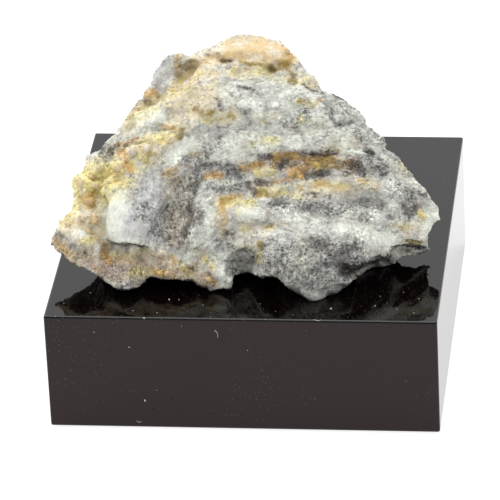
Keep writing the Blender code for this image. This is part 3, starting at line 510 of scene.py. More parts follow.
        (0.5, 0.3, (-8.8, 11.3), (-8.0, 11.6)),
        # the middle
        (0.9, 0.7, (2.2, 6.7), (5.0, 6.7), (7.9, 6.4)), (1.0, 1.05, (-5.4, 5.0), (-5.3, 2.8), (-5.6, 1.0)),
        (0.9, 0.5, (-4.9, 4.6), (-4.7, 2.6), (-5.0, 1.2)), (0.5, 0.4, (-5.2, 6.6), (-4.6, 6.6)),
        (0.4, 0.5, (-1.6, 0.9), (-1.0, 0.2)), (0.5, 0.3, (8.0, 6.4), (8.4, 6.8)),
        # the bulge
        (0.3, 0.8, (6.0, 0.2), (7.6, 0.6)),
        # the lower left
        (0.5, 0.4, (-3.6, -2.4), (-3.2, -2.0)),
    ],
}
# Where the surface is smooth and bears few grains
SMOOTH = [
    (1.0, 0.8, (-10.5, 1.2), (-10.4, 3.6)), (0.6, 0.5, (-9.0, 0.9), (-9.0, 1.8)),
    (0.6, 1.0, (-1.4, 15.7), (1.6, 15.6)), (0.7, 0.5, (-5.8, 7.4), (-4.6, 8.2)),
    (0.7, 0.4, (-7.4, 10.0), (-6.8, 10.4)), (0.6, 0.5, (7.0, 1.7), (8.4, 1.8), (10.8, 0.8)),
    (0.7, 0.4, (-0.6, 3.0), (0.5, 2.8)), (0.6, 0.5, (-6.7, 13.4), (-6.2, 14.2)),
]
# Where a step of the solid is worn down, by averaging its points this many times
WORN = [(1.0, 0.55, (-7.7, -0.5), (-6.4, -0.4), (-5.2, 0.0), (-3.4, 0.1))]
WEAR = 25
# Small forms of the face: (a, b, half-length, half-width, turn in degrees, height)
FORMS = [
    # pits and a slit below the crust
    (1.8, 14.0, 0.4, 0.32, -30.0, -0.3), (3.4, 13.4, 0.4, 0.35, 60.0, -0.25),
    (-5.6, 13.5, 0.5, 0.3, 10.0, -0.2), (-1.8, 14.7, 0.6, 0.12, -5.0, -0.3),
    # the pale knobs behind the ridge
    (-6.7, 13.4, 1.0, 0.8, 60.0, 0.4), (-7.7, 12.1, 0.7, 0.6, 40.0, 0.3),
    # the notch
    (-11.1, 7.5, 0.8, 0.5, 30.0, -0.4),
    # knobs of the left flank
    (-12.6, 3.8, 0.7, 0.5, 70.0, 0.35), (-13.1, 5.3, 0.7, 0.6, 30.0, 0.3), (-11.9, 5.0, 0.5, 0.5, 0.0, 0.3),
    (-11.3, 4.3, 0.6, 0.5, 40.0, 0.2), (-12.3, 2.4, 0.7, 0.4, 10.0, 0.25),
    (-13.3, 2.6, 0.6, 0.5, 100.0, 0.3), (-12.6, 1.1, 1.1, 0.7, -20.0, 0.35),
    (-14.3, 1.6, 0.7, 0.6, 50.0, 0.25), (-10.0, 6.2, 0.6, 0.4, 60.0, 0.3), (-9.4, 7.6, 0.9, 0.4, 30.0, 0.3),
    # knobs and slits above it
    (-8.9, 8.3, 1.2, 0.14, 12.0, -0.3), (-7.3, 10.1, 0.8, 0.5, 35.0, 0.3),
    (-6.5, 9.35, 0.9, 0.14, 0.0, -0.25), (-6.7, 8.6, 0.9, 0.6, 20.0, 0.2),
    (-8.9, 10.1, 0.8, 0.5, 40.0, 0.2),
    # the lower left
    (-11.2, 0.0, 0.3, 0.7, 10.0, -0.2), (-9.7, 0.2, 0.5, 0.14, 0.0, -0.15),
    (-12.5, -0.1, 0.6, 0.4, -20.0, -0.2), (-5.0, -1.3, 0.9, 0.12, -32.0, -0.12),
    (-3.3, -2.5, 0.7, 0.4, -15.0, 0.25), (-6.6, -1.8, 0.9, 0.4, -8.0, 0.2),
    (-2.1, -1.6, 0.3, 0.9, 0.0, 0.25),
    # the groove beside the rib, and the middle
    (-4.6, 3.0, 0.3, 2.4, -6.0, -0.3), (-1.9, 1.1, 0.5, 0.5, 0.0, -0.25), (0.2, 2.8, 1.0, 0.45, -8.0, 0.3),
    (0.75, 0.4, 0.3, 0.4, 0.0, 0.25), (1.1, 5.35, 0.6, 0.35, 0.0, 0.25), (2.6, 6.6, 0.7, 0.25, 45.0, -0.25),
    (5.4, 5.8, 1.0, 0.3, 0.0, -0.35), (5.6, 7.45, 1.4, 0.12, 3.0, -0.2),
    (-2.9, 5.7, 0.8, 0.25, 10.0, -0.15), (-0.1, 5.0, 0.3, 0.6, -20.0, -0.25),
    # the right side
    (9.3, 7.6, 0.5, 0.26, -20.0, -0.35), (10.3, 5.9, 0.3, 0.2, 0.0, -0.25),
    (10.9, 2.5, 0.35, 0.2, -20.0, -0.25), (10.9, 3.3, 0.7, 0.4, 10.0, 0.25),
    (12.6, 0.6, 0.9, 0.1, -5.0, -0.25),
    # slits of the shoulder and the upper face
    (6.3, 10.4, 0.8, 0.2, -65.0, -0.18), (7.4, 9.8, 0.9, 0.2, 5.0, -0.18),
    (-0.2, 12.5, 0.9, 0.12, -12.0, -0.15), (-2.3, 11.3, 0.5, 0.2, 75.0, -0.12),
]
# Steps of the face, down by drop on the right of the line from p to q: (p, q, drop, reach)
EDGES = [
    # the slab's left and lower edges
    ((-11.25, 4.4), (-11.25, 0.5), 0.45, 1.4), ((-11.2, 0.45), (-7.9, 0.25), 0.25, 1.6),
    # the ridge
    ((-4.0, 14.3), (-6.0, 12.2), 0.45, 1.6), ((-6.0, 12.2), (-8.2, 10.9), 0.35, 1.4),
    # the grey shoulder's edge, and the one over the ledge at the lower right
    ((3.9, 12.9), (6.3, 10.4), -0.3, 2.0), ((10.9, 0.2), (14.2, 0.3), 0.25, 0.8),
]
EDGE_WIDTH = 0.12
STROKE_SOFTNESS = 2.0
FACET_BLEND = 0.22

# The bigger crystals: (a, b, size, mineral that tints it, turn in degrees)
CRYSTALS = [
    (-12.55, 3.75, 0.55, "ochre", 20.0), (-11.95, 5.0, 0.4, "cream", 5.0), (-12.3, 5.6, 0.3, "cream", 40.0),
    (-13.1, 5.1, 0.5, "cream", 30.0), (-13.5, 4.3, 0.35, "yellow", 60.0), (-13.0, 2.5, 0.35, "ochre", 10.0),
    (-12.1, 2.3, 0.32, "ochre", 50.0), (-11.3, 4.6, 0.4, "yellow", 15.0),
    (-10.9, 5.3, 0.32, "yellow", 35.0), (-10.2, 6.3, 0.38, "cream", 25.0), (-9.6, 6.9, 0.3, "ochre", 55.0),
    (-9.0, 7.6, 0.45, "beige", 15.0), (-8.0, 7.9, 0.36, "beige", 70.0), (-11.6, 6.3, 0.36, "cream", 20.0),
    (-12.6, 1.5, 0.45, "cream", 30.0), (-11.9, 0.9, 0.32, "cream", 65.0), (-14.1, 1.9, 0.35, "cream", 45.0),
    (0.75, 0.45, 0.34, "olive", 5.0), (-3.2, -2.3, 0.34, "ochre", 30.0), (-6.4, -1.8, 0.34, "ochre", 60.0),
    (13.4, 2.6, 0.3, "yellow", 20.0), (14.2, 2.6, 0.4, "white", 50.0),
]
CRYSTAL_PROUD = 0.42
CRYSTAL_TILT = 0.25
CRYSTAL_TINT = 0.9
CRYSTAL_LIFT = 0.02
# A rhomb's sides are between these shares of its size, and the bigger crystals' gain makes up for it
RHOMB_SIDES = (0.6, 1.15)
CRYSTAL_GAIN = 1.3
# A rhomb's corners lean this much, as the mineral's cleavage does
RHOMB_LEAN = 0.27

# The larger crumbs on the block: (a, b, size)
PALE_CRUMBS = [
    (6.28, -4.58, 0.12), (-6.28, -3.88, 0.09), (-5.51, -3.88, 0.07), (-3.65, -4.27, 0.05),
    (-9.07, -4.73, 0.07), (-7.21, -4.89, 0.05), (-8.22, -5.27, 0.07), (0.78, -4.19, 0.04),
    (3.33, -5.04, 0.05), (9.7, -4.35, 0.06), (10.6, -4.1, 0.04), (11.4, -4.6, 0.05), (12.4, -4.2, 0.04),
    (13.1, -3.8, 0.06), (10.1, -3.6, 0.04), (11.9, -3.3, 0.05), (12.7, -4.9, 0.04), (-12.1, -6.36, 0.05),
    (-9.38, -7.52, 0.08), (-8.14, -11.63, 0.14),
]
DARK_CRUMBS = [(-6.05, -11.56, 0.1), (-7.52, -12.33, 0.09)]
# Fibres lying on the block: (thickness, points...)
FIBRES = [
    (0.02, (-2.7, -6.2), (-2.5, -6.5), (-2.5, -6.8)),
    (0.018, (-8.8, -13.25), (-8.6, -13.35), (-8.4, -13.3)),
    (0.018, (4.9, -5.4), (5.3, -5.5), (5.5, -5.4)),
]
ABOVE = Vector((0.0, 0.0, 1.0))
AHEAD = Vector((0.0, -1.0, 0.0))


def face_axes():
    """The leaning frame's right, up and outward axes."""
    out = Vector((
        math.sin(FACE_TURN) * math.cos(FACE_RISE),
        -math.cos(FACE_TURN) * math.cos(FACE_RISE),
        math.sin(FACE_RISE),
    ))
    level = ABOVE.cross(out).normalized()
    right = Matrix.Rotation(-FACE_ROLL, 3, out) @ level
    return right, out.cross(right), out


RIGHT, UP, OUT = face_axes()


def leaning(points):
    """The leaning coordinates a, b and w of points in the part's frame, in millimetres."""
    from_origin = points - np.array(FACE_ORIGIN)
    w = from_origin @ np.array(OUT)
    fan = 1.0 - w / FACE_REACH
    return from_origin @ np.array(RIGHT) / fan, from_origin @ np.array(UP) / fan, w


def smooth_step(low, high, value):
    t = np.clip((value - low) / (high - low), 0.0, 1.0)
    return t * t * (3.0 - 2.0 * t)


def layer(a, b, w):
    """Which of the stone's arched layers a point lies in, as a height in millimetres."""
    stretch = ARCH_RIGHT + (ARCH_LEFT - ARCH_RIGHT) * smooth_step(-2.0, 4.0, ARCH_CENTRE[0] - a)
    return np.hypot(stretch * (a - ARCH_CENTRE[0]), b - ARCH_CENTRE[1]) + ARCH_CENTRE[1] + LAYER_LEAN * w


def noise_at(points, scale, seed):
    """Smooth noise from -1 to 1 at each point."""
    shift = Vector((seed, seed * 0.7, -seed))
    return np.array([noise.noise(Vector(p) * scale + shift) for p in points])


def wander_at(points, scale, *seeds):
    """Two smooth noises, to push a and b about by."""
    return [noise_at(points, scale, seed) for seed in seeds]


def facets_at(points, size):
    """Flat chips about size across, each tilted its own way, from -1 to 1 or so."""
    heights = []
    tilts = {}
    for p in points:
        point = Vector(p) / size
        near, seeds = noise.voronoi(point)
        total = height = 0.0
        for distance, seed in zip(near, seeds):
            share = max(1.0 - (distance - near[0]) / FACET_BLEND, 0.0) ** 2
            if share == 0.0:
                break
            chip = seed.to_tuple(4)
            if chip not in tilts:
                tilts[chip] = (noise.noise_vector(seed * 7.3) * 2.0, noise.noise(seed * 5.1))
            tilt, base = tilts[chip]
            height += share * ((point - seed).dot(tilt) + base)
            total += share
        heights.append(height / total)
    return np.array(heights)


def to_stroke(a, b, stroke):
    """Each point's distance to a stroke's line."""
    corners = stroke[2:]
    nearest = np.full(len(a), 1e9)
    for (pa, pb), (qa, qb) in zip(corners, corners[1:]):
        da, db = qa - pa, qb - pb
        t = np.clip(((a - pa) * da + (b - pb) * db) / (da * da + db * db), 0.0, 1.0)
        nearest = np.minimum(nearest, np.hypot(a - pa - da * t, b - pb - db * t))
    return nearest


def mineral(a, b, strokes):
    """How strongly a mineral shows at each point, from 0 to 1."""
    shown = np.zeros(len(a))
    for stroke in strokes:
        strength, half_width = stroke[:2]
        near = 1.0 - smooth_step(0.0, STROKE_SOFTNESS * half_width, to_stroke(a, b, stroke))
        shown = np.maximum(shown, strength * near)
    return shown


def form(a, b, shape):
    """The height that one of FORMS adds at each point."""
    centre_a, centre_b, length, width, turn, height = shape
    turn = math.radians(turn)
    along = (a - centre_a) * math.cos(turn) + (b - centre_b) * math.sin(turn)
    across = (b - centre_b) * math.cos(turn) - (a - centre_a) * math.sin(turn)
    inside = 1.0 - (along / length) ** 2 - (across / width) ** 2
    return height * np.clip(inside, 0.0, 1.0)


def edge(a, b, shape):
    """The height that one of EDGES adds at each point."""
    (pa, pb), (qa, qb), drop, reach = shape
    length = math.hypot(qa - pa, qb - pb)
    da, db = (qa - pa) / length, (qb - pb) / length
    along = (a - pa) * da + (b - pb) * db
    below = (a - pa) * db - (b - pb) * da
    ends = smooth_step(-0.3, 0.3, along) * smooth_step(-0.3, 0.3, length - along)
    faded = 1.0 - smooth_step(0.0, reach, below)
    return -drop * ends * smooth_step(-EDGE_WIDTH, EDGE_WIDTH, below) * faded


def read(items, field, width, kind=np.float32):
    """A field of a mesh's vertices, normals, edges or faces, one row for each."""
    values = np.empty(len(items) * width, kind)
    items.foreach_get(field, values)
    return values.reshape(-1, width)


def read_points(mesh):
    return read(mesh.vertices, "co", 3).astype(float)


def read_normals(mesh):
    return read(mesh.vertex_normals, "vector", 3).astype(float)


def write_points(mesh, points):
    mesh.vertices.foreach_set("co", points.astype(np.float32).ravel())
    mesh.update()


def add_object(name, data):
    item = bpy.data.objects.new(name, data)
    bpy.context.scene.collection.objects.link(item)
    return item


def neighbour_mean(values, ends, times):
    """Each vertex's value averaged with its neighbours', a number of times."""
    count = np.bincount(ends.ravel(), minlength=len(values)) + 1.0
    for _ in range(times):
        total = values.copy()
        for axis in range(values.shape[1]):
            total[:, axis] += np.bincount(ends[:, 0], values[ends[:, 1], axis], len(values))
            total[:, axis] += np.bincount(ends[:, 1], values[ends[:, 0], axis], len(values))
        values = total / count[:, None]
    return values


def fine_stone():
    """The stone's solid remeshed finely, in millimetres."""
    mesh = bmesh.new()
    mesh.from_mesh(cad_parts["stone"].data)
    bmesh.ops.remove_doubles(mesh, verts=mesh.verts[:], dist=1e-6)
    bmesh.ops.scale(mesh, vec=(1.0 / MM,) * 3, verts=mesh.verts[:])
    rough = bpy.data.meshes.new("rough")
    mesh.to_mesh(rough)
    mesh.free()
    holder = add_object("holder", rough)
    remesh = holder.modifiers.new("remesh", "REMESH")
    remesh.mode = "VOXEL"
    remesh.voxel_size = VOXEL
    graph = bpy.context.evaluated_depsgraph_get()
    fine = bpy.data.meshes.new_from_object(holder.evaluated_get(graph))
    fine.name = "stone_surface"
    bpy.data.objects.remove(holder)
    return fine


def sculpt(mesh):
    """Adds the stone's small relief and returns each vertex's new place and how much it shows."""
    ends = read(mesh.edges, "vertices", 2, np.int32)
    start = read_points(mesh)
    soft = neighbour_mean(start, ends, 6)
    write_points(mesh, soft)
    normals = neighbour_mean(read_normals(mesh), ends, 3)
    normals /= np.linalg.norm(normals, axis=1)[:, None]
    points = neighbour_mean(start, ends, 1)
    a, b, w = leaning(points)
    seen = smooth_step(-0.2, 0.2, normals @ np.array(OUT))
    worn = mineral(a, b, WORN) * seen
    points += worn[:, None] * (neighbour_mean(start, ends, WEAR) - points)
    to_a, to_b = wander_at(points, 0.8, 3.0, 8.0)
    fa, fb = a + WAVER * to_a, b + WAVER * to_b
    relief = sum(form(fa, fb, shape) for shape in FORMS) + sum(edge(fa, fb, shape) for shape in EDGES)
    relief *= seen
    bedded = np.stack([a * BED_ALONG, layer(a, b, w) * BED_ACROSS, w * BED_ALONG], 1)
    sugar = mineral(a, b, STROKES["sugar"]) * seen
    rough = 1.0 - SMOOTHING * mineral(a, b, SMOOTH) * seen
    relief += BED_RELIEF * rough * facets_at(bedded, BED_CHIP)
    relief += LARGE_RELIEF * rough * facets_at(points, LARGE_CHIP)
    relief += (SMALL_RELIEF + SUGAR_RELIEF * sugar) * rough * facets_at(points + 5.0, SMALL_CHIP)
    relief += GRIT_RELIEF * rough * noise_at(points, GRIT_SCALE, 2.0)
    return points + normals * relief[:, None], ends, seen


def settle(points):
    """Slides the stone's lowest parts down along the face's lines until they touch the block."""
    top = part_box("display_block")[1].z / MM
    height = points[:, 2] - top
    drop = (REST_GAP + REST_SPARE) * (1.0 - smooth_step(REST_GAP, SETTLE_HEIGHT, height))
    moved = points - np.array(OUT)[None, :] * (drop / OUT.z)[:, None]
    moved[:, 2] = np.maximum(moved[:, 2], top - REST_SINK)
    return moved


def store(mesh, name, values):
    mesh.attributes.new(name, "FLOAT", "POINT").data.foreach_set("value", values.astype(np.float32))


def store_bed(mesh, a, b, w):
    """Stores coordinates that run along and across the stone's layers."""
    bed = np.stack([a * BED_ALONG, layer(a, b, w), b * BED_UP + w * BED_OUT], 1)
    attribute = mesh.attributes.new("bed", "FLOAT_VECTOR", "POINT")
    attribute.data.foreach_set("vector", bed.astype(np.float32).ravel())


def painted(points, normals, seen):
    """How strongly each mineral shows at each point, and the painted shade; the back's minerals are the
    face's, wandering.
    """
    a, b, _ = leaning(points)
    far = FACE_WANDER + BACK_WANDER * (1.0 - seen)
    coarse_a, coarse_b = wander_at(points, 0.9, 1.0, 5.0)
    fine_a, fine_b = wander_at(points, 3.2, 2.0, 6.0)
    pa = a + far * coarse_a + FINE_WANDER[0] * fine_a
    pb = b + far * coarse_b + FINE_WANDER[1] * fine_b
    shown = {name: mineral(pa, pb, strokes) for name, strokes in STROKES.items()}
    for name in ("warm", "yellow", "cream", "ochre"):
        shown[name] *= BACK_STAIN + (1.0 - BACK_STAIN) * seen
    # Painted shade: the underside near the front is darkened and given the dark mineral, and the back,
    # which faces away from the camera, is darkened
    painted_under_shade = smooth_step(-0.1, -0.8, normals[:, 2]) * smooth_step(4.0, -3.0, points[:, 1])
    shown["dark"] = np.maximum(shown["dark"], UNDER_DARK * painted_under_shade)
    shown["shade"] = -UNDER_SHADE * painted_under_shade - BACK_SHADE * (1.0 - seen)
    shown["smooth"] = mineral(a, b, SMOOTH) * seen
    return shown


def paint(mesh, points, ends, shown):
    """Stores where each mineral shows, the painted shade, how deep each hollow is (which sets the painted
    shade in hollows), and the layers' coordinates.
    """
    for name, values in shown.items():
        store(mesh, name, values)
    mean = neighbour_mean(points, ends, 4)
    normals = read_normals(mesh)
    store(mesh, "hollow", np.clip(((mean - points) * normals).sum(1) / HOLLOW_DEPTH, -1.0, 1.0))
    store_bed(mesh, *leaning(points))


def linear(colour):
    """An 8-bit sRGB colour as linear RGBA."""
    parts = [c / 255.0 for c in colour]
    return (*[c / 12.92 if c <= 0.04045 else ((c + 0.055) / 1.055) ** 2.4 for c in parts], 1.0)


class Nodes:
    """Short names for building the nodes of a material or a world."""

    def __init__(self, owner, shader="Principled BSDF"):
        owner.use_nodes = True
        self.owner = owner
        self.tree = owner.node_tree
        self.shader = self.tree.nodes[shader]

    def add(self, kind, inputs=(), **settings):
        node = self.tree.nodes.new(kind)
        for key, value in settings.items():
            setattr(node, key, value)
        self.put_all(node, dict(inputs))
        return node

    def put(self, socket, value):
        if isinstance(value, bpy.types.NodeSocket):
            self.tree.links.new(value, socket)
        else:
            socket.default_value = value

    def put_all(self, node, inputs):
        for key, value in inputs.items():
            self.put(node.inputs[key], value)

    def place(self):
        return self.add("ShaderNodeTexCoord").outputs["Object"]

    def attribute(self, name, output="Fac"):
        return self.add("ShaderNodeAttribute", attribute_name=name).outputs[output]

    def noise(self, vector, scale, detail=4.0, roughness=0.6):
        inputs = {"Vector": vector, "Scale": scale, "Detail": detail, "Roughness": roughness}
        return self.add("ShaderNodeTexNoise", inputs).outputs["Fac"]

    def cells(self, vector, scale, output="Color", feature="F1"):
        inputs = {"Vector": vector, "Scale": scale}
        return self.add("ShaderNodeTexVoronoi", inputs, feature=feature).outputs[output]

    def split(self, colour):
        """A colour's red, green and blue, as three random numbers of a cell."""
        return self.add("ShaderNodeSeparateColor", {"Color": colour}).outputs

    def math(self, operation, first, second=0.0, kind="ShaderNodeMath"):
        node = self.add(kind, {0: first, 1: second}, operation=operation)
        return node.outputs[0]

    def vector_math(self, operation, first, second):
        return self.math(operation, first, second, "ShaderNodeVectorMath")

    def dot(self, first, second):
        node = self.add("ShaderNodeVectorMath", {0: first, 1: second}, operation="DOT_PRODUCT")
        return node.outputs["Value"]

    def weighted(self, *terms):
        """The sum of each value less its middle, times its weight."""
        total = None
        for value, middle, weight in terms:
            part = self.math("MULTIPLY", self.math("SUBTRACT", value, middle), weight)
            total = part if total is None else self.math("ADD", total, part)
        return total

    def span(self, value, low, high, to_low=0.0, to_high=1.0):
        inputs = {"Value": value, "From Min": low, "From Max": high, "To Min": to_low, "To Max": to_high}
        return self.add("ShaderNodeMapRange", inputs, interpolation_type="SMOOTHSTEP").outputs["Result"]

    def bent(self, vector, scale, reach):
        """Coordinates that a noise pushes about by up to half of reach."""
        inputs = {"Vector": vector, "Scale": scale, "Detail": 2.0}
        push = self.add("ShaderNodeTexNoise", inputs).outputs["Color"]
        centred = self.vector_math("SUBTRACT", push, (0.5, 0.5, 0.5))
        return self.vector_math("ADD", vector, self.scaled(centred, reach))

    def chips(self, vector, scale):
        """The height of flat chips, each tilted its own way."""
        cell = self.add("ShaderNodeTexVoronoi", {"Vector": vector, "Scale": scale}).outputs
        centre = self.scaled(cell["Position"], scale)
        offset = self.vector_math("SUBTRACT", self.scaled(vector, scale), centre)
        tilt = self.vector_math("SUBTRACT", cell["Color"], (0.5, 0.5, 0.5))
        return self.dot(offset, tilt)

    def ridges(self, vector, scale, width):
        """Thin curly lines, 1 along each line and 0 away from it."""
        bent = self.math("ABSOLUTE", self.math("SUBTRACT", self.noise(vector, scale, 3.0, 0.55), 0.5))
        return self.span(bent, 0.0, width, 1.0, 0.0)

    def mix(self, share, first, second, blend="MIX"):
        node = self.add("ShaderNodeMix", data_type="RGBA", blend_type=blend)
        sockets = {socket.identifier: socket for socket in [*node.inputs, *node.outputs]}
        self.put(sockets["Factor_Float"], share)
        self.put(sockets["A_Color"], linear(first) if isinstance(first, tuple) else first)
        self.put(sockets["B_Color"], linear(second) if isinstance(second, tuple) else second)
        return sockets["Result_Color"]

    def scaled(self, vector, gain):
        return self.add("ShaderNodeVectorMath", {0: vector, "Scale": gain}, operation="SCALE").outputs[0]

    def bump(self, height, strength, distance, normal=None):
        below = {"Normal": normal} if normal else {}
        inputs = {"Height": height, "Strength": strength, "Distance": distance, **below}
        return self.add("ShaderNodeBump", inputs).outputs["Normal"]


def stone_material():
    """Granular banded stone: soft-edged minerals and iron stains, crystals, and thin dark curls, with
    painted shade in its hollows, on its underside and on its back.
    """
    n = Nodes(bpy.data.materials.new("banded_stone"))
    place = n.place()
    bed = n.attribute("bed", "Vector")
    streak = n.noise(bed, 1.6, 3.0, 0.55)
    blotch = n.noise(place, 900.0, 3.0, 0.55)
    mottle = n.noise(place, 3600.0, 2.0, 0.6)
    speck = n.noise(place, 4200.0, 3.0, 0.9)
    smooth = n.attribute("smooth")
    bent = n.bent(place, 1500.0, 0.0005)
    crystal = n.split(n.cells(bent, 1500.0))
    small = n.split(n.cells(place, 3800.0))
    hatch = n.noise(bed, 9.0, 3.0)
    wander = n.weighted(
        (blotch, 0.5, 2.2), (streak, 0.5, 1.2), (hatch, 0.5, 1.6), (crystal["Red"], 0.5, 0.4))
    grain = n.weighted((speck, 0.5, 1.1), (mottle, 0.5, 1.1), (small["Red"], 0.5, 0.3))

    def on_rough(value, on_smooth):
        """A value for the rough stone, going over to another where it is smooth."""
        return n.span(smooth, 0.0, 0.9, value, on_smooth)

    def shown(name, most):
        """How much of a mineral shows, up to most: more in some patches and grains than in others."""
        uneven = n.math("ADD", wander, n.math("MULTIPLY", grain, GRAINY.get(name, SOFT)))
        amount = n.math("MULTIPLY", n.attribute(name), n.math("ADD", uneven, 1.0))
        return n.span(amount, 0.1, 0.95, 0.0, most)

    veins = n.weighted((streak, 0.5, 1.0), (n.noise(bed, 5.0, 3.0), 0.5, 0.6), (grain, 0.0, 0.25))
    colour = n.mix(n.span(veins, -0.14, 0.08), GREY, PALE)
    faint = n.span(n.noise(place, 420.0, 3.0), 0.46, 0.7, 0.0, 0.3)
    colour = n.mix(faint, colour, (216, 202, 158))
    for name, (most, tint) in UNDERLAY.items():
        colour = n.mix(shown(name, most), colour, tint)
    warm = n.attribute("warm")
    pink = n.math("MULTIPLY", n.span(crystal["Blue"], 0.45, 0.9), n.span(warm, 0.0, 1.0, 0.08, 0.5))
    colour = n.mix(pink, colour, (222, 196, 172))
    clear = n.math("MULTIPLY", n.span(crystal["Green"], 0.6, 0.95), n.span(warm, 0.0, 1.0, 0.1, 0.5))
    colour = n.mix(clear, colour, (234, 234, 220))
    for name, (most, tint) in MINERALS.items():
        colour = n.mix(shown(name, most), colour, tint)

    rings = n.math("PINGPONG", n.math("MULTIPLY", n.noise(place, 800.0, 2.0, 0.5), 3.6), 0.5)
    curled = n.span(n.noise(place, 560.0, 2.0), 0.48, 0.62)
    curl = n.math("MULTIPLY", n.span(rings, 0.03, 0.2, 1.0, 0.0), curled)
    wisp = n.math("MULTIPLY", n.ridges(bed, 2.8, 0.11), n.span(n.noise(place, 700.0), 0.44, 0.60))
    seam = n.span(n.cells(bent, 2100.0, "Distance", "DISTANCE_TO_EDGE"), 0.02, 0.16, 1.0, 0.0)
    seam = n.math("MULTIPLY", seam, n.span(blotch, 0.38, 0.56))
    lines = n.math("MAXIMUM", n.math("MAXIMUM", wisp, curl), n.math("MULTIPLY", seam, 0.8))
    lines = n.math("MULTIPLY", lines, n.span(n.math("MAXIMUM", smooth, warm), 0.0, 0.9, 0.30, 0.08))
    granular = n.attribute("sugar")
    for name, share in (("dark", 1.0), ("umber", 1.0), ("tan", 0.6)):
        granular = n.math("MAXIMUM", granular, n.math("MULTIPLY", n.attribute(name), share))
    granular = n.math("MULTIPLY", granular, n.span(n.attribute("gold"), 0.1, 0.8, 1.0, 0.35))
    grainy = n.span(n.math("MULTIPLY", granular, n.math("ADD", wander, 1.0)), 0.1, 0.9)
    gain = n.weighted((hatch, 0.5, 0.45), (mottle, 0.5, 0.36), (small["Green"], 0.5, 0.2))
    sharp = n.span(speck, 0.36, 0.64, -1.0, 1.0)
    fine = n.math("MULTIPLY", sharp, n.span(grainy, 0.0, 1.0, 0.11, 0.64))
    gain = n.math("MULTIPLY", n.math("ADD", gain, fine), on_rough(1.0, 0.45))
    gain = n.math("SUBTRACT", n.math("ADD", gain, 1.0), lines)
    # Painted shade of the underside and the back, together with each grain's random tone
    gain = n.math("ADD", gain, n.attribute("shade"))
    amber = n.span(n.noise(place, 1700.0, 2.0, 0.5), 0.36, 0.64, -0.34, 0.26)
    gain = n.math("ADD", gain, n.math("MULTIPLY", n.attribute("gold"), amber))
    colour = n.scaled(colour, gain)
    # Painted shade: hollows are darkened toward a brown
    hollow_shade = n.span(n.attribute("hollow"), 0.2, 1.0, 0.0, 0.25)
    colour = n.mix(hollow_shade, colour, (136, 122, 100), "MULTIPLY")
    normal = None
    reliefs = [
        (n.chips(place, 1900.0), 0.6, 0.00016),
        (n.chips(place, 4200.0), 0.5, 0.00007),
        (speck, 0.4, 0.00005),
    ]
    for height, strength, depth in reliefs:
        normal = n.bump(height, on_rough(strength, 0.1), depth, normal)
    roughness = n.span(small["Blue"], 0.0, 1.0, 0.35, 0.8)
    n.put_all(n.shader, {"Base Color": colour, "Roughness": roughness, "IOR": 1.45, "Normal": normal})
    return n.owner


def make_stone(material):
    """The stone's fine surface; returns what the crystals on it need."""
    noise.seed_set(CHIP_SEED)
    mesh = fine_stone()
    points, ends, seen = sculpt(mesh)
    points = settle(points)
    write_points(mesh, points)
    normals = read_normals(mesh)
    shown = painted(points, normals, seen)
    paint(mesh, points, ends, shown)
    write_points(mesh, points * MM)
    corners = read(mesh.polygons, "vertices", 4, np.int32)
    mesh.polygons.foreach_set("use_smooth", shown["smooth"][corners[:, 0]] > SMOOTH_SHADED)
    mesh.materials.append(material)
    stone = add_object("stone_surface", mesh)
    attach(stone, "root")
    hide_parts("stone")
    return points, normals, seen, shown


def unit(rows):
    return rows / np.linalg.norm(rows, axis=1)[:, None]


def rhombs(centres, normals, sizes, tilt, rng):
    """The corners of leaning cubes that stand in a surface, each turned and tilted its own way."""
    count = len(centres)
    up = unit(normals + tilt * rng.normal(size=(count, 3)))
    side = unit(np.cross(up, rng.normal(size=(count, 3))))
    fore = np.cross(up, side)
    reach = sizes[:, None] * rng.uniform(*RHOMB_SIDES, (count, 3))
    corners = []
    for u in (-0.5, 0.5):
        for v in (-0.5, 0.5):
            for t in (-0.5, 0.5):
                lean = RHOMB_LEAN * (v + t)
                corners.append(centres + side * (reach[:, :1] * (u + lean))
                               + fore * (reach[:, 1:2] * (v + RHOMB_LEAN * t)) + up * (reach[:, 2:] * t))
    return np.stack(corners, 1)


def solid_mesh(name, corners):
    """One mesh of all the boxes, each of eight corners."""
    faces = np.array([(0, 1, 3, 2), (4, 6, 7, 5), (0, 4, 5, 1), (2, 3, 7, 6), (0, 2, 6, 4), (1, 5, 7, 3)])
    count = len(corners)
    quads = (faces[None] + 8 * np.arange(count)[:, None, None]).reshape(-1, 4)
    mesh = bpy.data.meshes.new(name)
    mesh.vertices.add(count * 8)
    mesh.loops.add(quads.size)
    mesh.polygons.add(len(quads))
    mesh.vertices.foreach_set("co", (corners.reshape(-1, 3) * MM).astype(np.float32).ravel())
    mesh.loops.foreach_set("vertex_index", quads.astype(np.int32).ravel())
    mesh.polygons.foreach_set("loop_start", np.arange(0, quads.size, 4, dtype=np.int32))
    mesh.update(calc_edges=True)
    return mesh


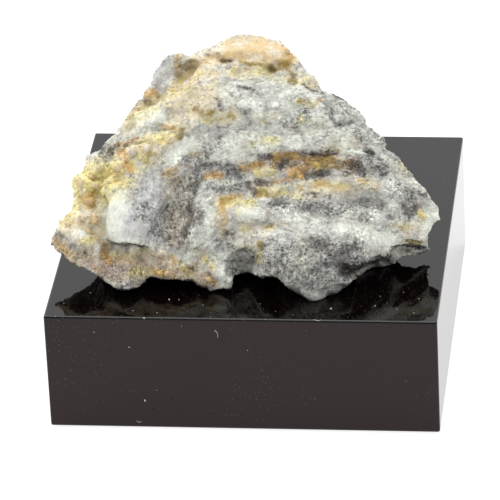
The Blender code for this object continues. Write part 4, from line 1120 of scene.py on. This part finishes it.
def make_crystals(material, points, normals, seen, shown):
    """Small rhombs standing a little out of the stone, and the bigger crystals of its stained flank."""
    rng = np.random.default_rng(SEED)
    a, b, _ = leaning(points)
    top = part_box("display_block")[1].z / MM
    stained = np.maximum.reduce([shown[name] for name in ("yellow", "ochre", "cream", "umber")]) * seen
    bare = 1.0 - SMOOTH_BARE * smooth_step(0.1, 0.4, shown["smooth"])
    anywhere, granular, in_stains = GRAIN_ODDS
    odds = bare * (anywhere + granular * shown["sugar"] * seen + in_stains * stained)
    odds *= points[:, 2] > top + GRAIN_CLEAR
    picked = rng.choice(len(points), GRAINS, replace=False, p=odds / odds.sum())
    flank = smooth_step(*FLANK, a[picked]) * seen[picked]
    sizes = GRAIN_SIZE + GRAIN_SPREAD * rng.uniform(size=GRAINS) ** 3
    sizes += STAINED_SPREAD * flank * stained[picked] * rng.uniform(size=GRAINS) ** 2
    centres = points[picked] - normals[picked] * (sizes * (0.5 - GRAIN_PROUD))[:, None]
    corners = [rhombs(centres, normals[picked], sizes, GRAIN_TILT, rng)]
    attributes = {name: values[picked] for name, values in shown.items()}

    front = np.flatnonzero(seen > 0.9)
    for at_a, at_b, size, kind, turn in CRYSTALS:
        nearest = front[np.argmin(np.hypot(a[front] - at_a, b[front] - at_b))]
        normal = normals[nearest:nearest + 1]
        size *= CRYSTAL_GAIN
        centre = points[nearest:nearest + 1] + normal * size * (CRYSTAL_PROUD - 0.5)
        own = np.random.default_rng(int(turn) + 3)
        corners.append(rhombs(centre, normal, np.array([size]), CRYSTAL_TILT, own))
        for name in attributes:
            amount = CRYSTAL_TINT if name in (kind, "smooth") else 0.0
            attributes[name] = np.append(attributes[name], amount)

    corners = np.concatenate(corners)
    corners[:, :, 2] = np.maximum(corners[:, :, 2], top + CRYSTAL_LIFT)
    mesh = solid_mesh("crystal_grains", corners)
    # Each grain's random tone goes on top of the painted shade it takes from the stone under it
    attributes["shade"] += rng.normal(0.0, GRAIN_SHADE, len(corners))
    for name, values in attributes.items():
        store(mesh, name, np.repeat(values, 8))
    store(mesh, "hollow", np.zeros(len(corners) * 8))
    store_bed(mesh, *leaning(corners.reshape(-1, 3)))
    mesh.materials.append(material)
    crystals = add_object("crystal_grains", mesh)
    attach(crystals, "root")


def block_material():
    """Polished black acrylic with faint smears and motes; its top is painted darker than its sides, as
    painted shade.
    """
    n = Nodes(bpy.data.materials.new("black_acrylic"))
    place = n.place()
    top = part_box("display_block")[1].z
    height = n.add("ShaderNodeSeparateXYZ", {"Vector": place}).outputs["Z"]
    body = n.mix(n.noise(place, 120.0, 3.0), (25, 7, 8), (29, 9, 10))
    # Painted shade: the top of the same acrylic is given a darker colour than the sides
    colour = n.mix(n.span(height, top - 0.0003, top - 0.0001), body, (7, 3, 3))
    mote = n.span(n.cells(place, 3000.0, "Distance"), 0.05, 0.17, 0.45, 0.0)
    mote = n.math("MULTIPLY", mote, n.span(n.noise(place, 230.0, 2.0), 0.48, 0.62))
    smear = n.noise(place, 160.0, 5.0, 0.7)
    n.put_all(n.shader, {
        "Base Color": n.mix(mote, colour, (120, 112, 108)),
        "Roughness": n.span(smear, 0.35, 0.8, 0.02, 0.06),
        "IOR": 1.37,
        "Normal": n.bump(n.noise(place, 260.0, 2.0), 0.02, 0.0001),
    })
    return n.owner


def finish_block():
    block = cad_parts["display_block"]
    block.data.materials.clear()
    block.data.materials.append(block_material())


def dust_material():
    """Pale mineral crumbs, a few of them dark."""
    n = Nodes(bpy.data.materials.new("stone_dust"))
    place = n.place()
    pale = n.mix(n.noise(place, 2500.0), (206, 196, 178), (232, 228, 220))
    n.put_all(n.shader, {
        "Base Color": n.mix(n.attribute("shade"), pale, (12, 9, 8)),
        "Roughness": n.span(n.noise(place, 5000.0), 0.0, 1.0, 0.5, 0.9),
    })
    return n.owner


def onto_block(a, b):
    """Where the line of sight through (a, b) meets the block's top or front, and the way it faces."""
    low, high = [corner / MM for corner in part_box("display_block")]
    start = FACE_ORIGIN + OUT * FACE_REACH
    sight = FACE_ORIGIN + RIGHT * a + UP * b - start
    place = start + sight * ((high.z - start.z) / sight.z)
    if low.x < place.x < high.x and low.y < place.y < high.y:
        return place, ABOVE
    return start + sight * ((low.y - start.y) / sight.y), AHEAD


def fibre(points, thickness):
    """The corners of thin square rods joined end to end."""
    corners = []
    for (place, facing), (following, _) in zip(points, points[1:]):
        across = (following - place).cross(facing).normalized() * thickness * 0.5
        lift = facing * thickness
        corners.append([end + offset + rise for end in (place, following)
                        for offset in (-across, across) for rise in (lift * 0.0, lift)])
    return np.array(corners)


def make_dust():
    """Crumbs, dust and fibres that lie on the block."""
    rng = np.random.default_rng(SEED + 1)
    low, high = [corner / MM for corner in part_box("display_block")]
    spots = [(*onto_block(a, b), size) for a, b, size in PALE_CRUMBS + DARK_CRUMBS]

    def add_speck(place, facing):
        spots.append((place, facing, DUST_SIZE + DUST_SPREAD * rng.uniform() ** 5))

    for _ in range(TOP_DUST):
        x = low.x + (high.x - low.x) * rng.uniform(0.02, 0.98)
        y = low.y + TOP_REACH * rng.uniform(0.02, 1.0) ** 1.6
        add_speck(Vector((x, y, high.z)), ABOVE)
    for _ in range(FRONT_DUST):
        x = low.x + (high.x - low.x) * rng.uniform(0.02, 0.98)
        z = high.z - FRONT_REACH * rng.uniform(0.01, 1.0) ** 2
        add_speck(Vector((x, low.y, z)), AHEAD)
    places, facing, sizes = [np.array(column) for column in zip(*spots)]
    centres = places + facing * sizes[:, None] * DUST_PROUD
    corners = rhombs(centres, facing, sizes, DUST_TILT, rng)
    shades = np.zeros(len(spots))
    shades[len(PALE_CRUMBS):len(PALE_CRUMBS) + len(DARK_CRUMBS)] = 1.0
    for strand in FIBRES:
        rods = fibre([onto_block(*point) for point in strand[1:]], strand[0])
        corners = np.concatenate([corners, rods])
        shades = np.append(shades, np.zeros(len(rods)))
    mesh = solid_mesh("dust", corners)
    store(mesh, "shade", np.repeat(shades, 8))
    mesh.materials.append(dust_material())
    dust = add_object("dust", mesh)
    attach(dust, "root")


def make_floor():
    mesh = bmesh.new()
    bmesh.ops.create_circle(mesh, cap_ends=True, radius=FLOOR_RADIUS, segments=64)
    data = bpy.data.meshes.new("floor")
    mesh.to_mesh(data)
    mesh.free()
    n = Nodes(bpy.data.materials.new("floor_paper"))
    n.put_all(n.shader, {
        "Base Color": n.mix(n.noise(n.place(), 30.0), (152, 152, 152), (158, 158, 158)),
        "Roughness": 0.9,
        "Emission Color": (1.0, 1.0, 1.0, 1.0),
        "Emission Strength": FLOOR_GLOW,
    })
    data.materials.append(n.owner)
    floor = add_object("floor", data)
    floor.location.z = -FLOOR_GAP


def add_softbox(name, place, target, size, power):
    light = bpy.data.lights.new(name, "AREA")
    light.shape = "SQUARE"
    light.size = size
    light.energy = power
    lamp = add_object(name, light)
    lamp.location = place
    lamp.rotation_euler = (Vector(target) - Vector(place)).to_track_quat("-Z", "Y").to_euler()
    lamp.visible_camera = False


def make_world():
    """A white surround, dimmer in front and brighter behind and above."""
    n = Nodes(bpy.data.worlds.new("studio"), "Background")
    way = n.add("ShaderNodeTexCoord").outputs["Generated"]
    strength = n.span(n.dot(way, (0.0, 0.8, 0.6)), -0.7, 0.6, FRONT_LIGHT, BACK_LIGHT)
    n.put_all(n.shader, {"Color": (1.0, 1.0, 1.0, 1.0), "Strength": strength})
    bpy.context.scene.world = n.owner


def make_studio():
    make_world()
    add_softbox("top_softbox", (-0.12, 0.16, 0.42), (0.0, 0.06, 0.0), 0.30, TOP_POWER)
    add_softbox("front_softbox", (-0.30, -0.34, 0.34), (0.0, 0.0, 0.012), 0.18, SIDE_POWER)
    bpy.context.scene.view_settings.view_transform = "Standard"


def make_camera():
    data = bpy.data.cameras.new("camera")
    data.lens = LENS
    data.sensor_width = SENSOR
    data.clip_start = 0.01
    data.clip_end = 10.0
    camera = add_object("camera", data)
    turned = Matrix((RIGHT, UP, OUT)).transposed().to_4x4()
    camera.matrix_world = Matrix.Translation((FACE_ORIGIN + OUT * FACE_REACH) * MM) @ turned
    bpy.context.scene.camera = camera


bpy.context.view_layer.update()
make_camera()
make_studio()
make_floor()
finish_block()
banded_stone = stone_material()
make_crystals(banded_stone, *make_stone(banded_stone))
make_dust()
